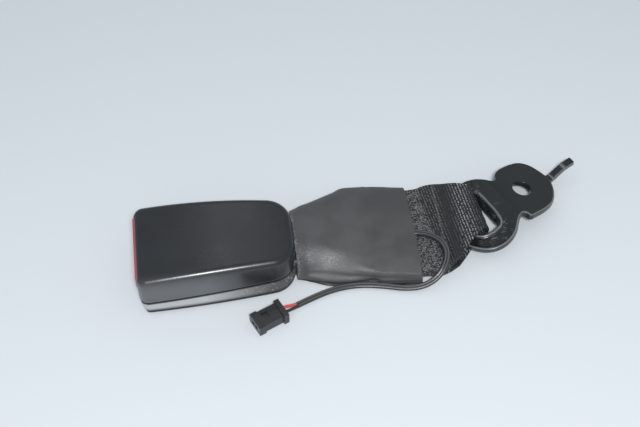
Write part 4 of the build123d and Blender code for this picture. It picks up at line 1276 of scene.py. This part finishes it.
# ------------------------------------------------------------------ stage
CAMERA_PLACE = (0.00389, -0.31592, 0.43599)
CAMERA_ELEVATION = np.radians(51.79)
CAMERA_YAW = np.radians(7.56)
CAMERA_LENS, CAMERA_SENSOR = 67.5, 36.0
FLOOR_HALF = 3000.0
SKY_COLOUR, SKY_STRENGTH = (0.86, 0.93, 1.0, 1.0), 0.49
# Place, aim, width and height in metres, power in watts.
LAMPS = {"key": ((0.02, -0.50, 0.70), (0.05, 0.0, 0.0), 0.15, 0.09, 5.4),
         "fill": ((0.05, 0.62, 0.84), (0.0, 0.0, 0.02), 0.16, 0.12, 0.12)}


def area_lamp(name, place, aim, width, height, power):
    """A rectangular lamp at a place, turned so that it shines at its aim."""
    lamp = bpy.data.lights.new(name, "AREA")
    lamp.shape = "RECTANGLE"
    lamp.size, lamp.size_y, lamp.energy = width, height, power
    carrier = bpy.data.objects.new(name, lamp)
    direction = Vector(aim) - Vector(place)
    carrier.matrix_world = (Matrix.Translation(place)
                            @ direction.to_track_quat("-Z", "Y").to_matrix().to_4x4())
    bpy.context.scene.collection.objects.link(carrier)


class BUCKLE_OT_stage(bpy.types.Operator):
    """Floor, soft lights and camera"""

    bl_idname = "buckle.stage"
    bl_label = "Stage"

    def execute(self, context):
        scene = context.scene
        scene.view_settings.view_transform = "Standard"
        self.add_floor()
        self.add_world(scene)
        for name, lamp in LAMPS.items():
            area_lamp(name, *lamp)
        self.add_camera(scene)
        return {"FINISHED"}

    def add_floor(self):
        ends = (-FLOOR_HALF, FLOOR_HALF)
        floor = grid_piece("floor", np.array([[[x, y, 0.0] for y in ends] for x in ends]))
        material = bpy.data.materials.new("floor_pale")
        material.use_nodes = True
        bsdf = material.node_tree.nodes["Principled BSDF"]
        bsdf.inputs["Base Color"].default_value = rgba(colours().floor)
        bsdf.inputs["Roughness"].default_value = 0.6
        bsdf.inputs["Specular IOR Level"].default_value = 0.2
        floor.data.materials.append(material)

    def add_world(self, scene):
        world = bpy.data.worlds.new("studio")
        world.use_nodes = True
        background = world.node_tree.nodes["Background"]
        background.inputs["Color"].default_value = SKY_COLOUR
        background.inputs["Strength"].default_value = SKY_STRENGTH
        scene.world = world

    def add_camera(self, scene):
        data = bpy.data.cameras.new("camera")
        data.lens, data.sensor_width, data.sensor_fit = CAMERA_LENS, CAMERA_SENSOR, "HORIZONTAL"
        data.clip_start, data.clip_end = 0.01, 20.0
        camera = bpy.data.objects.new("camera", data)
        e, a = CAMERA_ELEVATION, CAMERA_YAW
        right = Vector((np.cos(a), -np.sin(a), 0.0))
        up = Vector((np.sin(a) * np.sin(e), np.cos(a) * np.sin(e), np.cos(e)))
        back = right.cross(up)
        camera.matrix_world = Matrix((
            (right.x, up.x, back.x, CAMERA_PLACE[0]), (right.y, up.y, back.y, CAMERA_PLACE[1]),
            (right.z, up.z, back.z, CAMERA_PLACE[2]), (0.0, 0.0, 0.0, 1.0)))
        scene.collection.objects.link(camera)
        scene.camera = camera


class BUCKLE_PT_panel(bpy.types.Panel):
    """Buttons for each group of pieces, and their sizes and colours"""

    bl_idname = "BUCKLE_PT_panel"
    bl_label = "Seat Belt Buckle"
    bl_space_type = "VIEW_3D"
    bl_region_type = "UI"
    bl_category = "Buckle"

    def draw(self, context):
        layout = self.layout
        for operator in OPERATORS:
            layout.operator(operator.bl_idname)
        for group in (context.scene.buckle_sizes, context.scene.buckle_colours):
            box = layout.box()
            for name in group.bl_rna.properties.keys():
                if name not in ("rna_type", "name"):
                    box.prop(group, name)


OPERATORS = (BUCKLE_OT_covers, BUCKLE_OT_mechanism, BUCKLE_OT_boot, BUCKLE_OT_webbing,
             BUCKLE_OT_anchor, BUCKLE_OT_lead, BUCKLE_OT_stage)
CLASSES = (BuckleSizes, BuckleColours) + OPERATORS + (BUCKLE_PT_panel,)


def register():
    for each in CLASSES:
        bpy.utils.register_class(each)
    bpy.types.Scene.buckle_sizes = PointerProperty(type=BuckleSizes)
    bpy.types.Scene.buckle_colours = PointerProperty(type=BuckleColours)


def unregister():
    del bpy.types.Scene.buckle_sizes
    del bpy.types.Scene.buckle_colours
    for each in reversed(CLASSES):
        bpy.utils.unregister_class(each)


def main():
    register()
    bpy.ops.buckle.stage()
    bpy.ops.buckle.lead()
    bpy.ops.buckle.covers()
    bpy.ops.buckle.mechanism()
    bpy.ops.buckle.boot()
    bpy.ops.buckle.webbing()
    bpy.ops.buckle.anchor()


if __name__ == "__main__":
    main()
